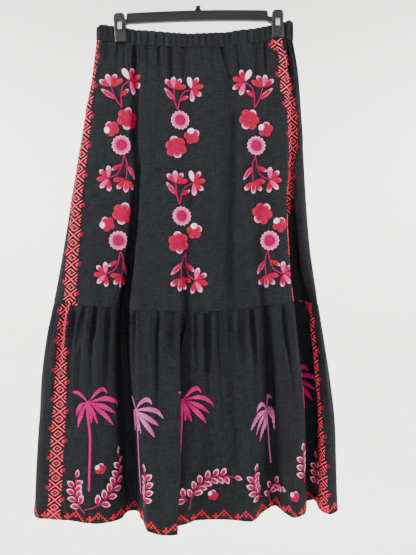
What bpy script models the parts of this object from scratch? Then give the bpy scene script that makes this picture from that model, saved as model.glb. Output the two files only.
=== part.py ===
"""Embroidered two-tier skirt hanging from a clip hanger.

The cloth is a closed loop at every height: the front runs from the left side to the right
side and the back returns.  Named lines run down the loop from waist to hem, one for each
lip, floor or crest of a fold, and the walls are lofted through them.  Small gathers are
added below the waistband and below the tier seam.

Frame: metres, +Z up, the front faces -Y.  The origin is the inner top of the hook, where the
rail carries the hanger.
"""
import math
from typing import NamedTuple

import bmesh
import bpy
import numpy as np
from mathutils import Matrix

MM = 0.001

# Driving sizes, in millimetres.
CLOTH_WALL = 1.5
BAND_WALL = 2.6
SEAM_GAP = 0.3
UPPER_LENGTH = 519.0
TIER_LENGTH = 424.0
UPPER_STEP = 9.0
TIER_FRONT_STEP = 8.2
TIER_BACK_STEP = 11.5
BAND_STEP = 6.4
BAND_GATHER = 0.9
WAIST_GATHER = 2.0
WAIST_GATHER_REACH = 110.0
TIER_GATHER = 4.2
TIER_GATHER_REACH = 230.0
GATHER_SWELL = 24.0
HANGER_TILT = math.radians(1.2)

# Heights below the waist seam at which the fold lines are given.
LINE_DROPS = (0.0, 148.0, UPPER_LENGTH, UPPER_LENGTH + TIER_LENGTH)
DEPTH_DROPS = (0.0, 148.0, 340.0, UPPER_LENGTH, UPPER_LENGTH + TIER_LENGTH)
UPPER_ROWS = (0.0, 8.0, 26.0, 62.0, 130.0, 220.0, 320.0, 425.0, UPPER_LENGTH)
TIER_ROWS = (0.0, 8.0, 24.0, 54.0, 104.0, 175.0, 260.0, 345.0, TIER_LENGTH)
BAND_ROWS = (0.0, 0.5, 0.9, 1.0)
BAND_TOP_ROUNDING = 0.8
END_STEP = 0.5


class FoldLine(NamedTuple):
    """A line down the cloth: x across, and out in front of the hanger's plane, in mm."""

    name: str
    x_waist: float
    x_hip: float
    x_seam: float
    x_hem: float
    out_waist: float
    out_hip: float
    out_thigh: float
    out_seam: float
    out_hem: float


class OutlineRow(NamedTuple):
    """Left and right edge of the skirt at a drop below the waist seam, in mm."""

    drop: float
    left: float
    right: float


class WaistPoint(NamedTuple):
    """Waist line across the skirt: seam height and height of the band above it, in mm."""

    x: float
    seam_z: float
    band: float


FRONT_LINES = (
    FoldLine("side_left", -200, -225, -295, -335, 0, -10, -24, -34, -38),
    FoldLine("left_turn", -193, -216, -275, -312, 4.5, 3, 0, -6, -2),
    FoldLine("left_flat", -174, -193, -235, -260, 4.0, 8, 6, 4, -1),
    FoldLine("left_crest", -152, -164, -197, -205, 3.7, 9, 9, 9, 6),
    FoldLine("valley_a_lip", -133, -135, -161, -159, 4.0, 7, 6, 3, -14),
    FoldLine("valley_a_floor", -124, -128, -158, -145, 4.2, -1, -8, -38, -48),
    FoldLine("valley_a_rise", -119, -123, -147, -133, 4.5, -1, -9, -40, -52),
    FoldLine("valley_a_edge", -111, -114, -130, -114, 7, 8, 6, 2, -22),
    FoldLine("lobe_left", -93, -97, -109, -94, 8, 10, 11, 11, 20),
    FoldLine("lobe_middle", -64, -64, -64, -66, 8, 11, 12, 12, 29),
    FoldLine("lobe_edge", -39, -39, -35, -40, 8, 10, 10, 10, 23),
    FoldLine("lobe_under", -27, -25, -24, -47, 7, 6, 4, -6, 0),
    FoldLine("step_floor", -16, -14, -12, -28, 6, 6, 4, 1, -10),
    FoldLine("centre_a", 4, 6, 10, 3, 8, 10, 10, 9, -28),
    FoldLine("centre_b", 31, 35, 35, 48, 8, 11, 11, 10, -27),
    FoldLine("valley_b", 59, 69, 67, 76, 5, 2, 0, 0, -18),
    FoldLine("crest_b", 78, 90, 93, 103, 8, 9, 10, 10, -11),
    FoldLine("valley_c_lip", 101, 111, 113, 130, 6, 9, 9, 8, -37),
    FoldLine("valley_c", 119, 125, 130, 158, 4.5, 6, 4, -6, -60),
    FoldLine("valley_c_edge", 133, 138, 145, 174, 4.0, 8, 8, 6, -28),
    FoldLine("right_crest", 147, 153, 165, 190, 3.7, 9, 10, 10, -5),
    FoldLine("valley_d_lip", 162, 170, 186, 214, 3.7, 7, 5, 3, -17),
    FoldLine("valley_d_floor", 171, 187, 199, 229, 3.7, -5, -22, -46, -68),
    FoldLine("valley_d_rise", 175, 193, 222, 243, 3.7, -6, -25, -50, -72),
    FoldLine("valley_d_edge", 179, 197, 229, 248, 4.0, 0, -12, -26, -34),
    FoldLine("flap", 183, 201, 236, 262, 3.5, -2, -9, -16, -17),
    FoldLine("side_right", 187, 206, 245, 285, 0, -10, -24, -34, -40),
)

BACK_LINES = (
    FoldLine("back_right_turn", 181, 197, 234, 266, -4.0, -24, -46, -64, -80),
    FoldLine("back_right_crest", 156, 165, 188, 210, -3.7, -30, -60, -86, -104),
    FoldLine("back_valley_1", 120, 126, 148, 152, -4.5, -24, -46, -62, -74),
    FoldLine("back_crest_1", 88, 94, 110, 118, -8, -30, -60, -88, -112),
    FoldLine("back_crest_2", 50, 52, 54, 62, -8, -31, -62, -90, -108),
    FoldLine("back_valley_2", 24, 24, 20, 18, -6, -25, -48, -64, -68),
    FoldLine("back_rise_2", 10, 8, 4, -2, -6, -25, -50, -68, -72),
    FoldLine("back_crest_3", -16, -20, -28, -36, -8, -30, -62, -90, -114),
    FoldLine("back_crest_4", -54, -58, -70, -84, -8, -31, -62, -92, -110),
    FoldLine("back_valley_3", -88, -94, -112, -126, -6, -25, -49, -66, -72),
    FoldLine("back_crest_5", -120, -128, -156, -176, -4.5, -29, -60, -86, -106),
    FoldLine("back_left_crest", -152, -166, -206, -236, -3.7, -27, -54, -76, -92),
    FoldLine("back_valley_4", -174, -190, -238, -272, -4.0, -22, -42, -58, -68),
    FoldLine("back_left_turn", -193, -215, -276, -316, -4.5, -20, -40, -54, -62),
)

OUTLINE = (
    OutlineRow(0, -200, 187),
    OutlineRow(60, -208, 198),
    OutlineRow(148, -225, 206),
    OutlineRow(382, -269, 225),
    OutlineRow(519, -296, 245),
    OutlineRow(587, -310, 256),
    OutlineRow(675, -321, 270),
    OutlineRow(762, -326, 280),
    OutlineRow(850, -331, 283),
    OutlineRow(943, -335, 286),
)

WAIST_LINE = (
    WaistPoint(-200, -141, 25),
    WaistPoint(-185, -142, 30),
    WaistPoint(-166, -145, 30),
    WaistPoint(-138, -149, 30),
    WaistPoint(-113, -153, 29),
    WaistPoint(-74, -155.5, 28),
    WaistPoint(-35, -157.5, 27),
    WaistPoint(0, -157.8, 27),
    WaistPoint(35, -156.5, 27),
    WaistPoint(70, -152.7, 27),
    WaistPoint(105, -148.4, 27.5),
    WaistPoint(129, -144, 28),
    WaistPoint(158, -140, 30),
    WaistPoint(172, -139.5, 34),
    WaistPoint(181, -140.5, 37),
    WaistPoint(187, -142, 36),
)

# Hook: inner radius, wire and stem, in millimetres.
HOOK_INNER_RADIUS = 20.0
HOOK_WIRE = 4.0
HOOK_ARC_START = -52.0
HOOK_ARC_END = 188.0
STEM_TOP_Z = -56.0
STEM_FOOT_Z = -74.0

# Bar: a flat moulding, slightly arched, in the hanger's own untilted frame.
BAR_LEFT = -141.0
BAR_RIGHT = 137.0
BAR_TOP_Z = -83.6
BAR_ARCH = 3.0
BAR_HEIGHT = 19.5
BAR_THICKNESS = 8.0
BAR_CORNER = 3.0
BAR_ROUNDING = 1.2
ARM_LEFT_END = -148.4
ARM_RIGHT_END = 150.6
ARM_DROP = 14.0
ARM_HEIGHT = 13.0
COLLAR_FOOT_RADIUS = 6.5
COLLAR_TOP_RADIUS = 4.0

# Clip jaws: profile from the finger grip down to the tip.
JAW_WIDTH = 22.5
JAW_THICKNESS = 2.8
JAW_EDGE_ROUNDING = 0.7
JAW_CLEARANCE = 4.0
WINDOW_WIDTH = 10.0
WINDOW_DROP = 13.0
WINDOW_HEIGHT = 16.0


class JawRow(NamedTuple):
    """One level of a clip jaw: part of its length, inner face from the plane, width share."""

    along: float
    inner: float
    width: float


JAW_ROWS = (
    JawRow(0.00, 7.4, 0.62),
    JawRow(0.035, 7.3, 0.80),
    JawRow(0.10, 7.0, 0.96),
    JawRow(0.16, 6.6, 1.0),
    JawRow(0.30, 4.6, 1.0),
    JawRow(0.45, 4.6, 1.0),
    JawRow(0.62, 6.2, 1.0),
    JawRow(0.80, 5.6, 1.0),
    JawRow(0.93, 4.3, 1.0),
    JawRow(1.00, 4.3, 0.98),
)


class SpringRow(NamedTuple):
    """One point of a clip spring's side view: part of the jaw's length, and depth in mm."""

    along: float
    out: float


SPRING_WIDTH = 8.0
SPRING_THICKNESS = 0.8
SPRING_LEG = (
    SpringRow(0.215, 2.4),
    SpringRow(0.266, 4.4),
    SpringRow(0.305, 7.6),
    SpringRow(0.345, 9.0),
    SpringRow(0.43, 9.2),
    SpringRow(0.52, 9.3),
    SpringRow(0.572, 9.2),
)
SPRING_CROWN = (SpringRow(0.196, 1.0), SpringRow(0.193, 0.0))


class Clip(NamedTuple):
    """A clip: the middle of its top and of its tip, in mm."""

    side: str
    top_x: float
    top_z: float
    tip_x: float
    tip_z: float


CLIPS = (
    Clip("left", -154.4, -93.0, -150.6, -147.0),
    Clip("right", 155.6, -86.5, 155.6, -139.0),
)


def clear_scene():
    """Remove every object, so that the script can be run again in an open file."""
    for item in list(bpy.data.objects):
        bpy.data.objects.remove(item, do_unlink=True)


def new_collection(name):
    """Return an empty collection linked to the scene."""
    found = bpy.data.collections.get(name)
    if found is not None:
        bpy.data.collections.remove(found)
    made = bpy.data.collections.new(name)
    bpy.context.scene.collection.children.link(made)
    return made


def make_material(name, colour, roughness, metallic=0.0):
    """Return a Principled material with a plain colour."""
    material = bpy.data.materials.new(name)
    material.use_nodes = True
    shader = material.node_tree.nodes["Principled BSDF"]
    shader.inputs["Base Color"].default_value = (*colour, 1.0)
    shader.inputs["Roughness"].default_value = roughness
    shader.inputs["Metallic"].default_value = metallic
    return material


def keep(item, name, collection, material):
    """Name an object, move it into the collection and give it its material."""
    item.name = name
    item.data.name = name
    for owner in list(item.users_collection):
        owner.objects.unlink(item)
    collection.objects.link(item)
    item.data.materials.clear()
    item.data.materials.append(material)
    return item


def monotone_slopes(t, values):
    """Slopes of a curve through values at t that never passes beyond them."""
    step = np.diff(t)
    rise = np.diff(values) / step
    slopes = np.zeros(len(values))
    slopes[0] = rise[0]
    slopes[-1] = rise[-1]
    for i in range(1, len(values) - 1):
        if rise[i - 1] * rise[i] > 0.0:
            before = 2.0 * step[i] + step[i - 1]
            after = step[i] + 2.0 * step[i - 1]
            slopes[i] = (before + after) / (before / rise[i - 1] + after / rise[i])
    return slopes


def monotone_curve(t, values, at):
    """Read the monotone curve through (t, values) at the places in at."""
    t = np.asarray(t, dtype=float)
    values = np.asarray(values, dtype=float)
    slopes = monotone_slopes(t, values)
    at = np.clip(np.asarray(at, dtype=float), t[0], t[-1])
    index = np.clip(np.searchsorted(t, at, side="right") - 1, 0, len(t) - 2)
    width = t[index + 1] - t[index]
    f = (at - t[index]) / width
    start = (1.0 + 2.0 * f) * (1.0 - f) ** 2 * values[index]
    start_slope = f * (1.0 - f) ** 2 * width * slopes[index]
    end = f ** 2 * (3.0 - 2.0 * f) * values[index + 1]
    end_slope = f ** 2 * (f - 1.0) * width * slopes[index + 1]
    return start + start_slope + end + end_slope


def smooth_step(value):
    """Rise from 0 to 1 with soft ends."""
    value = min(max(value, 0.0), 1.0)
    return value * value * (3.0 - 2.0 * value)


class SkirtLoop:
    """The closed loop of cloth, read at any drop below the waist seam."""

    def __init__(self):
        self.lines = FRONT_LINES + BACK_LINES
        self.front_count = len(FRONT_LINES)

    def corners(self, drop):
        """Place every fold line at one drop: an array of (x, y)."""
        table = np.array([line[1:] for line in self.lines], dtype=float)
        x = np.array([monotone_curve(LINE_DROPS, row[:4], drop) for row in table])
        out = np.array([monotone_curve(DEPTH_DROPS, row[4:], drop) for row in table])
        drops = [row.drop for row in OUTLINE]
        left = monotone_curve(drops, [row.left for row in OUTLINE], drop)
        right = monotone_curve(drops, [row.right for row in OUTLINE], drop)
        first = x[0]
        last = x[self.front_count - 1]
        x = left + (x - first) / (last - first) * (right - left)
        return np.column_stack((x, -out))

    def section(self, drop, counts, first, last):
        """Points from line first to line last, counts[k] steps in stretch k, and end slopes."""
        corners = self.corners(drop)
        total = len(corners)
        ring = np.vstack((corners[-2:], corners, corners[:3]))
        lengths = np.linalg.norm(np.diff(ring, axis=0), axis=1)
        t = np.concatenate(([0.0], np.cumsum(lengths)))
        places = [t[first + 2] - END_STEP]
        for k in range(first, last):
            start = t[k + 2]
            end = t[k + 3]
            count = counts[k % total]
            places.extend(start + (end - start) * i / count for i in range(count))
        places.append(t[last + 2])
        places.append(t[last + 2] + END_STEP)
        places = np.array(places)
        x = monotone_curve(t, ring[:, 0], places)
        y = monotone_curve(t, ring[:, 1], places)
        read = np.column_stack((x, y))
        starts = read[1] - read[0]
        ends = read[-1] - read[-2]
        return read[1:-1], (starts, ends)

    def step_counts(self, drops, step):
        """Steps in each stretch of the loop, from its mean length at the given drops."""
        rings = [self.corners(drop) for drop in drops]
        counts = []
        for k in range(len(self.lines)):
            spans = [np.linalg.norm(ring[(k + 1) % len(ring)] - ring[k]) for ring in rings]
            counts.append(max(1, round(sum(spans) / len(spans) / step)))
        return counts


def waist_height(x):
    """Seam height and band height at one place across the waist."""
    places = [point.x for point in WAIST_LINE]
    seam = monotone_curve(places, [point.seam_z for point in WAIST_LINE], x)
    band = monotone_curve(places, [point.band for point in WAIST_LINE], x)
    return seam, band


def outward_normals(points, slopes):
    """Level unit normals along a section that runs with the outside on its right."""
    ahead = np.gradient(points, axis=0)
    ahead[0], ahead[-1] = slopes
    normals = np.column_stack((ahead[:, 1], -ahead[:, 0]))
    return normals / np.linalg.norm(normals, axis=1)[:, None]


def trim_ends(points, slopes, gap):
    """Draw both ends of a section in by half of the gap between two panels."""
    trimmed = points.copy()
    trimmed[0] += slopes[0] / np.linalg.norm(slopes[0]) * gap / 2.0
    trimmed[-1] -= slopes[1] / np.linalg.norm(slopes[1]) * gap / 2.0
    return trimmed


def gather_wave(column, per_gather, drop, reach):
    """Height of the gathers at a column: each has its own strength and length."""
    number = column // per_gather
    phase = (column % per_gather) / per_gather
    strength = 0.68 + 0.32 * math.sin(2.4 * number)
    own_reach = reach * (0.45 + 0.55 * math.sin(1.7 * number + 0.6) ** 2)
    swell = 0.45 + 0.55 * smooth_step(drop / GATHER_SWELL)
    fade = 1.0 - smooth_step(drop / own_reach)
    return strength * swell * fade * math.cos(2.0 * math.pi * phase)


def panel_walls(loop, first, last, counts, rows, top_drop, gather, per_gather, reach):
    """Outer and inner points of a cloth panel, row by row from its top."""
    waist_x = loop.section(0.0, counts, first, last)[0][:, 0]
    seam_z = waist_height(waist_x)[0]
    outer = []
    inner = []
    for row in rows:
        edge = 0.0
        if row == rows[0]:
            edge = -SEAM_GAP / 2.0
        if row == rows[-1]:
            edge = SEAM_GAP / 2.0
        points, slopes = loop.section(top_drop + row, counts, first, last)
        points = trim_ends(points, slopes, SEAM_GAP)
        normals = outward_normals(points, slopes)
        facing = np.abs(normals[:, 1])
        wave = [gather_wave(column, per_gather, row, reach) for column in range(len(points))]
        height = gather * np.array(wave) * facing ** 2
        height[0] = 0.0
        height[-1] = 0.0
        pushed = points + normals * height[:, None]
        normals = outward_normals(pushed, slopes)
        backed = pushed - normals * CLOTH_WALL
        z = seam_z - top_drop - row + edge
        outer.append(np.column_stack((pushed, z)))
        inner.append(np.column_stack((backed, z)))
    return np.array(outer), np.array(inner)


def band_walls(loop, first, last, counts):
    """Outer and inner points of half of the waistband, gathered outside, plain inside."""
    points, slopes = loop.section(0.0, counts, first, last)
    points = trim_ends(points, slopes, SEAM_GAP)
    seam_z, height = waist_height(points[:, 0])
    normals = outward_normals(points, slopes)
    backed = points - normals * BAND_WALL
    clip_reach = JAW_WIDTH / 2.0 + JAW_CLEARANCE
    wave = np.zeros(len(points))
    for column in range(1, len(points) - 1):
        clear = min(abs(points[column, 0] - clip.tip_x) for clip in CLIPS) > clip_reach
        if clear and column % 2 == 0:
            wave[column] = BAND_GATHER * (0.6 + 0.4 * math.sin(2.1 * column))
    outer = []
    inner = []
    for part in BAND_ROWS:
        inset = BAND_TOP_ROUNDING if part == 1.0 else 0.0
        swell = math.sin(math.pi * min(max(part, 0.12), 0.9))
        ring = points + normals * (wave * swell - inset)[:, None]
        z = seam_z + SEAM_GAP / 2.0 + height * part
        outer.append(np.column_stack((ring, z)))
        inner.append(np.column_stack((backed + normals * inset, z)))
    return np.array(outer)[::-1], np.array(inner)[::-1]


def loft_body(name, outer, inner, collection, material):
    """Close two facing grids of points (in mm, rows from the top) into one body."""
    rows, columns = outer.shape[:2]
    work = bmesh.new()
    grids = []
    for grid in (outer, inner):
        grids.append([[work.verts.new(tuple(point * MM)) for point in row] for row in grid])
    front, back = grids
    for i in range(rows - 1):
        for j in range(columns - 1):
            work.faces.new((front[i][j], front[i + 1][j], front[i + 1][j + 1], front[i][j + 1]))
            work.faces.new((back[i][j], back[i][j + 1], back[i + 1][j + 1], back[i + 1][j]))
    for j in range(columns - 1):
        work.faces.new((front[0][j], front[0][j + 1], back[0][j + 1], back[0][j]))
        low = rows - 1
        work.faces.new((front[low][j], back[low][j], back[low][j + 1], front[low][j + 1]))
    for i in range(rows - 1):
        work.faces.new((front[i][0], back[i][0], back[i + 1][0], front[i + 1][0]))
        far = columns - 1
        work.faces.new((front[i][far], front[i + 1][far], back[i + 1][far], back[i][far]))
    bmesh.ops.recalc_face_normals(work, faces=work.faces)
    mesh = bpy.data.meshes.new(name)
    work.to_mesh(mesh)
    work.free()
    mesh.shade_smooth()
    mesh.set_sharp_from_angle(angle=math.radians(50.0))
    item = bpy.data.objects.new(name, mesh)
    bpy.context.scene.collection.objects.link(item)
    return keep(item, name, collection, material)


def build_cloth(collection):
    """Waistband, upper panels and gathered tier, front and back."""
    linen = make_material("black_linen", (0.030, 0.031, 0.036), 0.88)
    band = make_material("black_linen_casing", (0.026, 0.027, 0.031), 0.85)
    loop = SkirtLoop()
    side_right = loop.front_count - 1
    whole = len(loop.lines)
    halves = (("front", 0, side_right), ("back", side_right, whole))
    tier_drops = (UPPER_LENGTH, UPPER_LENGTH + TIER_LENGTH)
    for side, first, last in halves:
        counts = loop.step_counts((0.0,), BAND_STEP)
        outer, inner = band_walls(loop, first, last, counts)
        loft_body("waistband_" + side, outer, inner, collection, band)
        counts = loop.step_counts((0.0, UPPER_LENGTH), UPPER_STEP)
        outer, inner = panel_walls(
            loop, first, last, counts, UPPER_ROWS, 0.0, WAIST_GATHER, 3, WAIST_GATHER_REACH)
        loft_body("upper_" + side, outer, inner, collection, linen)
        step = TIER_FRONT_STEP if side == "front" else TIER_BACK_STEP
        counts = loop.step_counts(tier_drops, step)
        per_gather = 3 if side == "front" else 2
        outer, inner = panel_walls(
            loop, first, last, counts, TIER_ROWS, UPPER_LENGTH, TIER_GATHER, per_gather,
            TIER_GATHER_REACH)
        loft_body("tier_" + side, outer, inner, collection, linen)


def tilted(x, z):
    """Turn a point of the level bar about the foot of the collar, in mm."""
    c = math.cos(HANGER_TILT)
    s = math.sin(HANGER_TILT)
    return (x * c - (z - BAR_TOP_Z) * s, BAR_TOP_Z + (z - BAR_TOP_Z) * c + x * s)


def bar_outline():
    """Front outline of the bar, with the arms that carry the clips."""
    middle = (BAR_LEFT + BAR_RIGHT) / 2.0
    half = (BAR_RIGHT - BAR_LEFT) / 2.0
    top = []
    low = []
    steps = 10
    corner = BAR_CORNER
    for i in range(steps + 1):
        x = BAR_LEFT + corner + (2.0 * half - 2.0 * corner) * i / steps
        arch = BAR_ARCH * ((x - middle) / half) ** 2
        top.append((x, BAR_TOP_Z - arch))
        low.append((x, BAR_TOP_Z - arch - BAR_HEIGHT))
    shoulder = BAR_TOP_Z - BAR_ARCH - corner
    arm_top = BAR_TOP_Z - ARM_DROP
    arm_low = BAR_TOP_Z - BAR_HEIGHT - BAR_ARCH - corner
    left = [(BAR_LEFT, shoulder), (BAR_LEFT, arm_top), (ARM_LEFT_END, arm_top - corner)]
    left += [(ARM_LEFT_END, arm_top - ARM_HEIGHT), (BAR_LEFT - corner, arm_low)]
    right = [(BAR_RIGHT, shoulder), (BAR_RIGHT, arm_top), (ARM_RIGHT_END, arm_top - corner)]
    right += [(ARM_RIGHT_END, arm_top - ARM_HEIGHT), (BAR_RIGHT + corner, arm_low)]
    return left[::-1] + top + right + low[::-1]


def build_bar(collection, plastic):
    """The flat moulded bar, its arms and the collar of the hook."""
    curve = bpy.data.curves.new("hanger_bar", "CURVE")
    curve.dimensions = "2D"
    curve.fill_mode = "BOTH"
    curve.extrude = BAR_THICKNESS / 2.0 * MM
    outline = [tilted(x, z) for x, z in bar_outline()]
    spline = curve.splines.new("POLY")
    spline.points.add(len(outline) - 1)
    for point, (x, z) in zip(spline.points, outline):
        point.co = (x * MM, z * MM, 0.0, 1.0)
    spline.use_cyclic_u = True
    flat = bpy.data.objects.new("bar_outline", curve)
    bpy.context.scene.collection.objects.link(flat)
    flat.rotation_euler = (math.radians(90.0), 0.0, 0.0)
    bpy.context.view_layer.update()
    shown = flat.evaluated_get(bpy.context.evaluated_depsgraph_get())
    mesh = bpy.data.meshes.new_from_object(shown)
    bar = bpy.data.objects.new("hanger_bar", mesh)
    bpy.context.scene.collection.objects.link(bar)
    bar.matrix_world = flat.matrix_world.copy()
    bpy.data.objects.remove(flat)
    work = bmesh.new()
    work.from_mesh(mesh)
    bmesh.ops.remove_doubles(work, verts=work.verts, dist=1e-6)
    bmesh.ops.dissolve_limit(
        work, angle_limit=math.radians(0.5), verts=work.verts, edges=work.edges)
    bmesh.ops.recalc_face_normals(work, faces=work.faces)
    work.to_mesh(mesh)
    work.free()
    keep(bar, "hanger_bar", collection, plastic)
    bevel = bar.modifiers.new("rounded", "BEVEL")
    bevel.width = BAR_ROUNDING * MM
    bevel.segments = 2
    bevel.limit_method = "ANGLE"
    bevel.angle_limit = math.radians(60.0)

    top_z = BAR_TOP_Z + SEAM_GAP
    depth = STEM_FOOT_Z - SEAM_GAP - top_z
    bpy.ops.mesh.primitive_cone_add(
        vertices=24, radius1=COLLAR_FOOT_RADIUS * MM, radius2=COLLAR_TOP_RADIUS * MM,
        depth=depth * MM, location=(0.0, 0.0, (top_z + depth / 2.0) * MM))
    keep(bpy.context.object, "hanger_collar", collection, plastic)


def build_hook(collection, steel):
    """The swivel hook: a wire that rises from the collar into an open round."""
    radius = HOOK_INNER_RADIUS + HOOK_WIRE / 2.0
    centre_z = -HOOK_INNER_RADIUS
    points = [(0.0, STEM_FOOT_Z), (0.0, STEM_FOOT_Z + 7.0), (0.0, STEM_TOP_Z - 4.0)]
    points += [(0.8, STEM_TOP_Z), (4.0, STEM_TOP_Z + 7.0), (9.0, STEM_TOP_Z + 13.0)]
    steps = 24
    for i in range(steps + 1):
        angle = math.radians(HOOK_ARC_START + (HOOK_ARC_END - HOOK_ARC_START) * i / steps)
        points.append((radius * math.cos(angle), centre_z + radius * math.sin(angle)))
    curve = bpy.data.curves.new("hanger_hook", "CURVE")
    curve.dimensions = "3D"
    curve.bevel_depth = HOOK_WIRE / 2.0 * MM
    curve.bevel_resolution = 2
    curve.use_fill_caps = True
    spline = curve.splines.new("POLY")
    spline.points.add(len(points) - 1)
    for point, (x, z) in zip(spline.points, points):
        point.co = (x * MM, 0.0, z * MM, 1.0)
    hook = bpy.data.objects.new("hanger_hook", curve)
    bpy.context.scene.collection.objects.link(hook)
    keep(hook, "hanger_hook", collection, steel)


def clip_point(clip, across, out, along):
    """A point of a clip from its place across, outwards and along, in mm."""
    length = math.hypot(clip.tip_x - clip.top_x, clip.tip_z - clip.top_z)
    down_x = (clip.tip_x - clip.top_x) / length
    down_z = (clip.tip_z - clip.top_z) / length
    x = clip.top_x + down_x * along * length - down_z * across
    z = clip.top_z + down_z * along * length + down_x * across
    return (x, -out, z)


def jaw_grids(clip, facing):
    """Outer and inner points of one jaw: facing is 1 for the front and -1 for the back."""
    outer = []
    inner = []
    places = (-1.0, -0.86, 0.0, 0.86, 1.0)
    for row in JAW_ROWS:
        half = JAW_WIDTH / 2.0 * row.width
        face = []
        pad = []
        for place in places:
            edge = JAW_EDGE_ROUNDING if abs(place) == 1.0 else 0.0
            out = row.inner + JAW_THICKNESS - edge
            face.append(clip_point(clip, place * half, facing * out, row.along))
            pad.append(clip_point(clip, place * half, facing * row.inner, row.along))
        outer.append(face)
        inner.append(pad)
    return np.array(outer), np.array(inner)


def build_clip(clip, collection, cutters, plastic, steel):
    """Two jaws with a window each, and the spring that shuts them."""
    length = math.hypot(clip.tip_x - clip.top_x, clip.tip_z - clip.top_z)
    for side, facing in (("front", 1.0), ("back", -1.0)):
        name = "clip_" + clip.side + "_" + side + "_jaw"
        outer, inner = jaw_grids(clip, facing)
        jaw = loft_body(name, outer, inner, collection, plastic)
        middle = clip_point(clip, 0.0, facing * 8.0, (WINDOW_DROP + WINDOW_HEIGHT / 2.0) / length)
        bpy.ops.mesh.primitive_cube_add(size=1.0)
        cutter = bpy.context.object
        lean = math.atan2(clip.tip_x - clip.top_x, clip.top_z - clip.tip_z)
        cutter.matrix_world = (
            Matrix.Translation([value * MM for value in middle])
            @ Matrix.Rotation(-lean, 4, "Y")
            @ Matrix.Diagonal((WINDOW_WIDTH * MM, 14.0 * MM, WINDOW_HEIGHT * MM, 1.0)))
        keep(cutter, "cut_" + name, cutters, plastic)
        cutter.hide_render = True
        cutter.display_type = "WIRE"
        cut = jaw.modifiers.new("window", "BOOLEAN")
        cut.operation = "DIFFERENCE"
        cut.object = cutter
    front_leg = [(row.along, row.out) for row in SPRING_LEG[::-1]]
    crown = [(row.along, row.out) for row in SPRING_CROWN]
    back_leg = [(along, -out) for along, out in (front_leg + crown[:1])[::-1]]
    path = np.array(front_leg + crown + back_leg)
    path[:, 0] *= length
    ahead = np.gradient(path, axis=0)
    side_ways = np.column_stack((-ahead[:, 1], ahead[:, 0]))
    side_ways = side_ways / np.linalg.norm(side_ways, axis=1)[:, None]
    grids = []
    for offset in (SPRING_THICKNESS / 2.0, -SPRING_THICKNESS / 2.0):
        line = path + side_ways * offset
        grids.append(np.array([
            [clip_point(clip, across, out, along / length)
             for across in (-SPRING_WIDTH / 2.0, SPRING_WIDTH / 2.0)]
            for along, out in line]))
    loft_body("clip_" + clip.side + "_spring", grids[0], grids[1], collection, steel)


def main():
    """Build every piece of the skirt and its hanger."""
    clear_scene()
    collection = new_collection("embroidered_skirt")
    cutters = new_collection("embroidered_skirt_cutters")
    plastic = make_material("black_moulded_plastic", (0.020, 0.021, 0.024), 0.42)
    clip_plastic = make_material("dark_grey_moulded_plastic", (0.045, 0.047, 0.052), 0.45)
    steel = make_material("bright_steel_wire", (0.62, 0.62, 0.62), 0.28, 1.0)
    build_cloth(collection)
    build_bar(collection, plastic)
    build_hook(collection, steel)
    for clip in CLIPS:
        build_clip(clip, collection, cutters, clip_plastic, steel)


main()
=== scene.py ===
"""Looks of an embroidered two-tier skirt of black linen, hung by its waistband from a clip hanger.

The cloth panels are laid through the same fold lines as the solids, on a far finer grid, with
their gathers, creases, turned hem and puckered waistband.  The embroidery is stitched onto that
grid: every petal, leaf, frond and cross is a small domed pad of satin stitches that follows the
cloth under it.  Sizes are in millimetres until a mesh is made, which is in metres.
"""

import logging
import math
from dataclasses import dataclass, field
from enum import Enum
from typing import NamedTuple

import bmesh
import bpy
import numpy as np
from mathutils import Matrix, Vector
from numpy.typing import ArrayLike


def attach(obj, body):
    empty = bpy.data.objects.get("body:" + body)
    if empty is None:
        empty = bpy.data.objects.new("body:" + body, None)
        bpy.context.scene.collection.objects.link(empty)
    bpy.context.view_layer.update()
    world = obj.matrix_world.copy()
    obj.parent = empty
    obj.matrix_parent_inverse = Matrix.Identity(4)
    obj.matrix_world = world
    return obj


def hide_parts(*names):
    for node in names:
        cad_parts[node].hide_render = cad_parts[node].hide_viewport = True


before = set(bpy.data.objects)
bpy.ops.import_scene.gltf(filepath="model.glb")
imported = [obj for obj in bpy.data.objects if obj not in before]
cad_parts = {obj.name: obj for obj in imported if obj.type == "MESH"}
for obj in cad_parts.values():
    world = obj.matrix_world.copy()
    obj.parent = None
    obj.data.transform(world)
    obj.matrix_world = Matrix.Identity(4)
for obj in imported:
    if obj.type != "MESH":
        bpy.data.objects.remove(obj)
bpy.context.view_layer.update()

MM = 0.001
log = logging.getLogger("embroidered_skirt")

Pair = tuple[float, float]

# Camera of the photograph: its place, and how many pixels a metre spans one metre away.
CAMERA_PLACE = np.array((19.5, -858.0, -608.0))
FOCAL_PIXELS = 435.9
CENTRE_PIXEL = (208.0, 277.5)
MM_PER_PIXEL = 1.95
LENS_MM = 28.27
SENSOR_MM = 36.0

# The cut of the skirt.
UPPER_LENGTH = 519.0
TIER_LENGTH = 424.0
LINE_DROPS = (0.0, 148.0, 519.0, 943.0)
DEPTH_DROPS = (0.0, 148.0, 340.0, 519.0, 943.0)
CLOTH_THICKNESS = 0.8
GATHER_SWELL = 24.0
HEM_DEPTH = 12.0


class FoldLine(NamedTuple):
    """A line down the cloth: x across, and out in front of the hanger's plane, in mm."""

    name: str
    x_waist: float
    x_hip: float
    x_seam: float
    x_hem: float
    out_waist: float
    out_hip: float
    out_thigh: float
    out_seam: float
    out_hem: float


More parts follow.
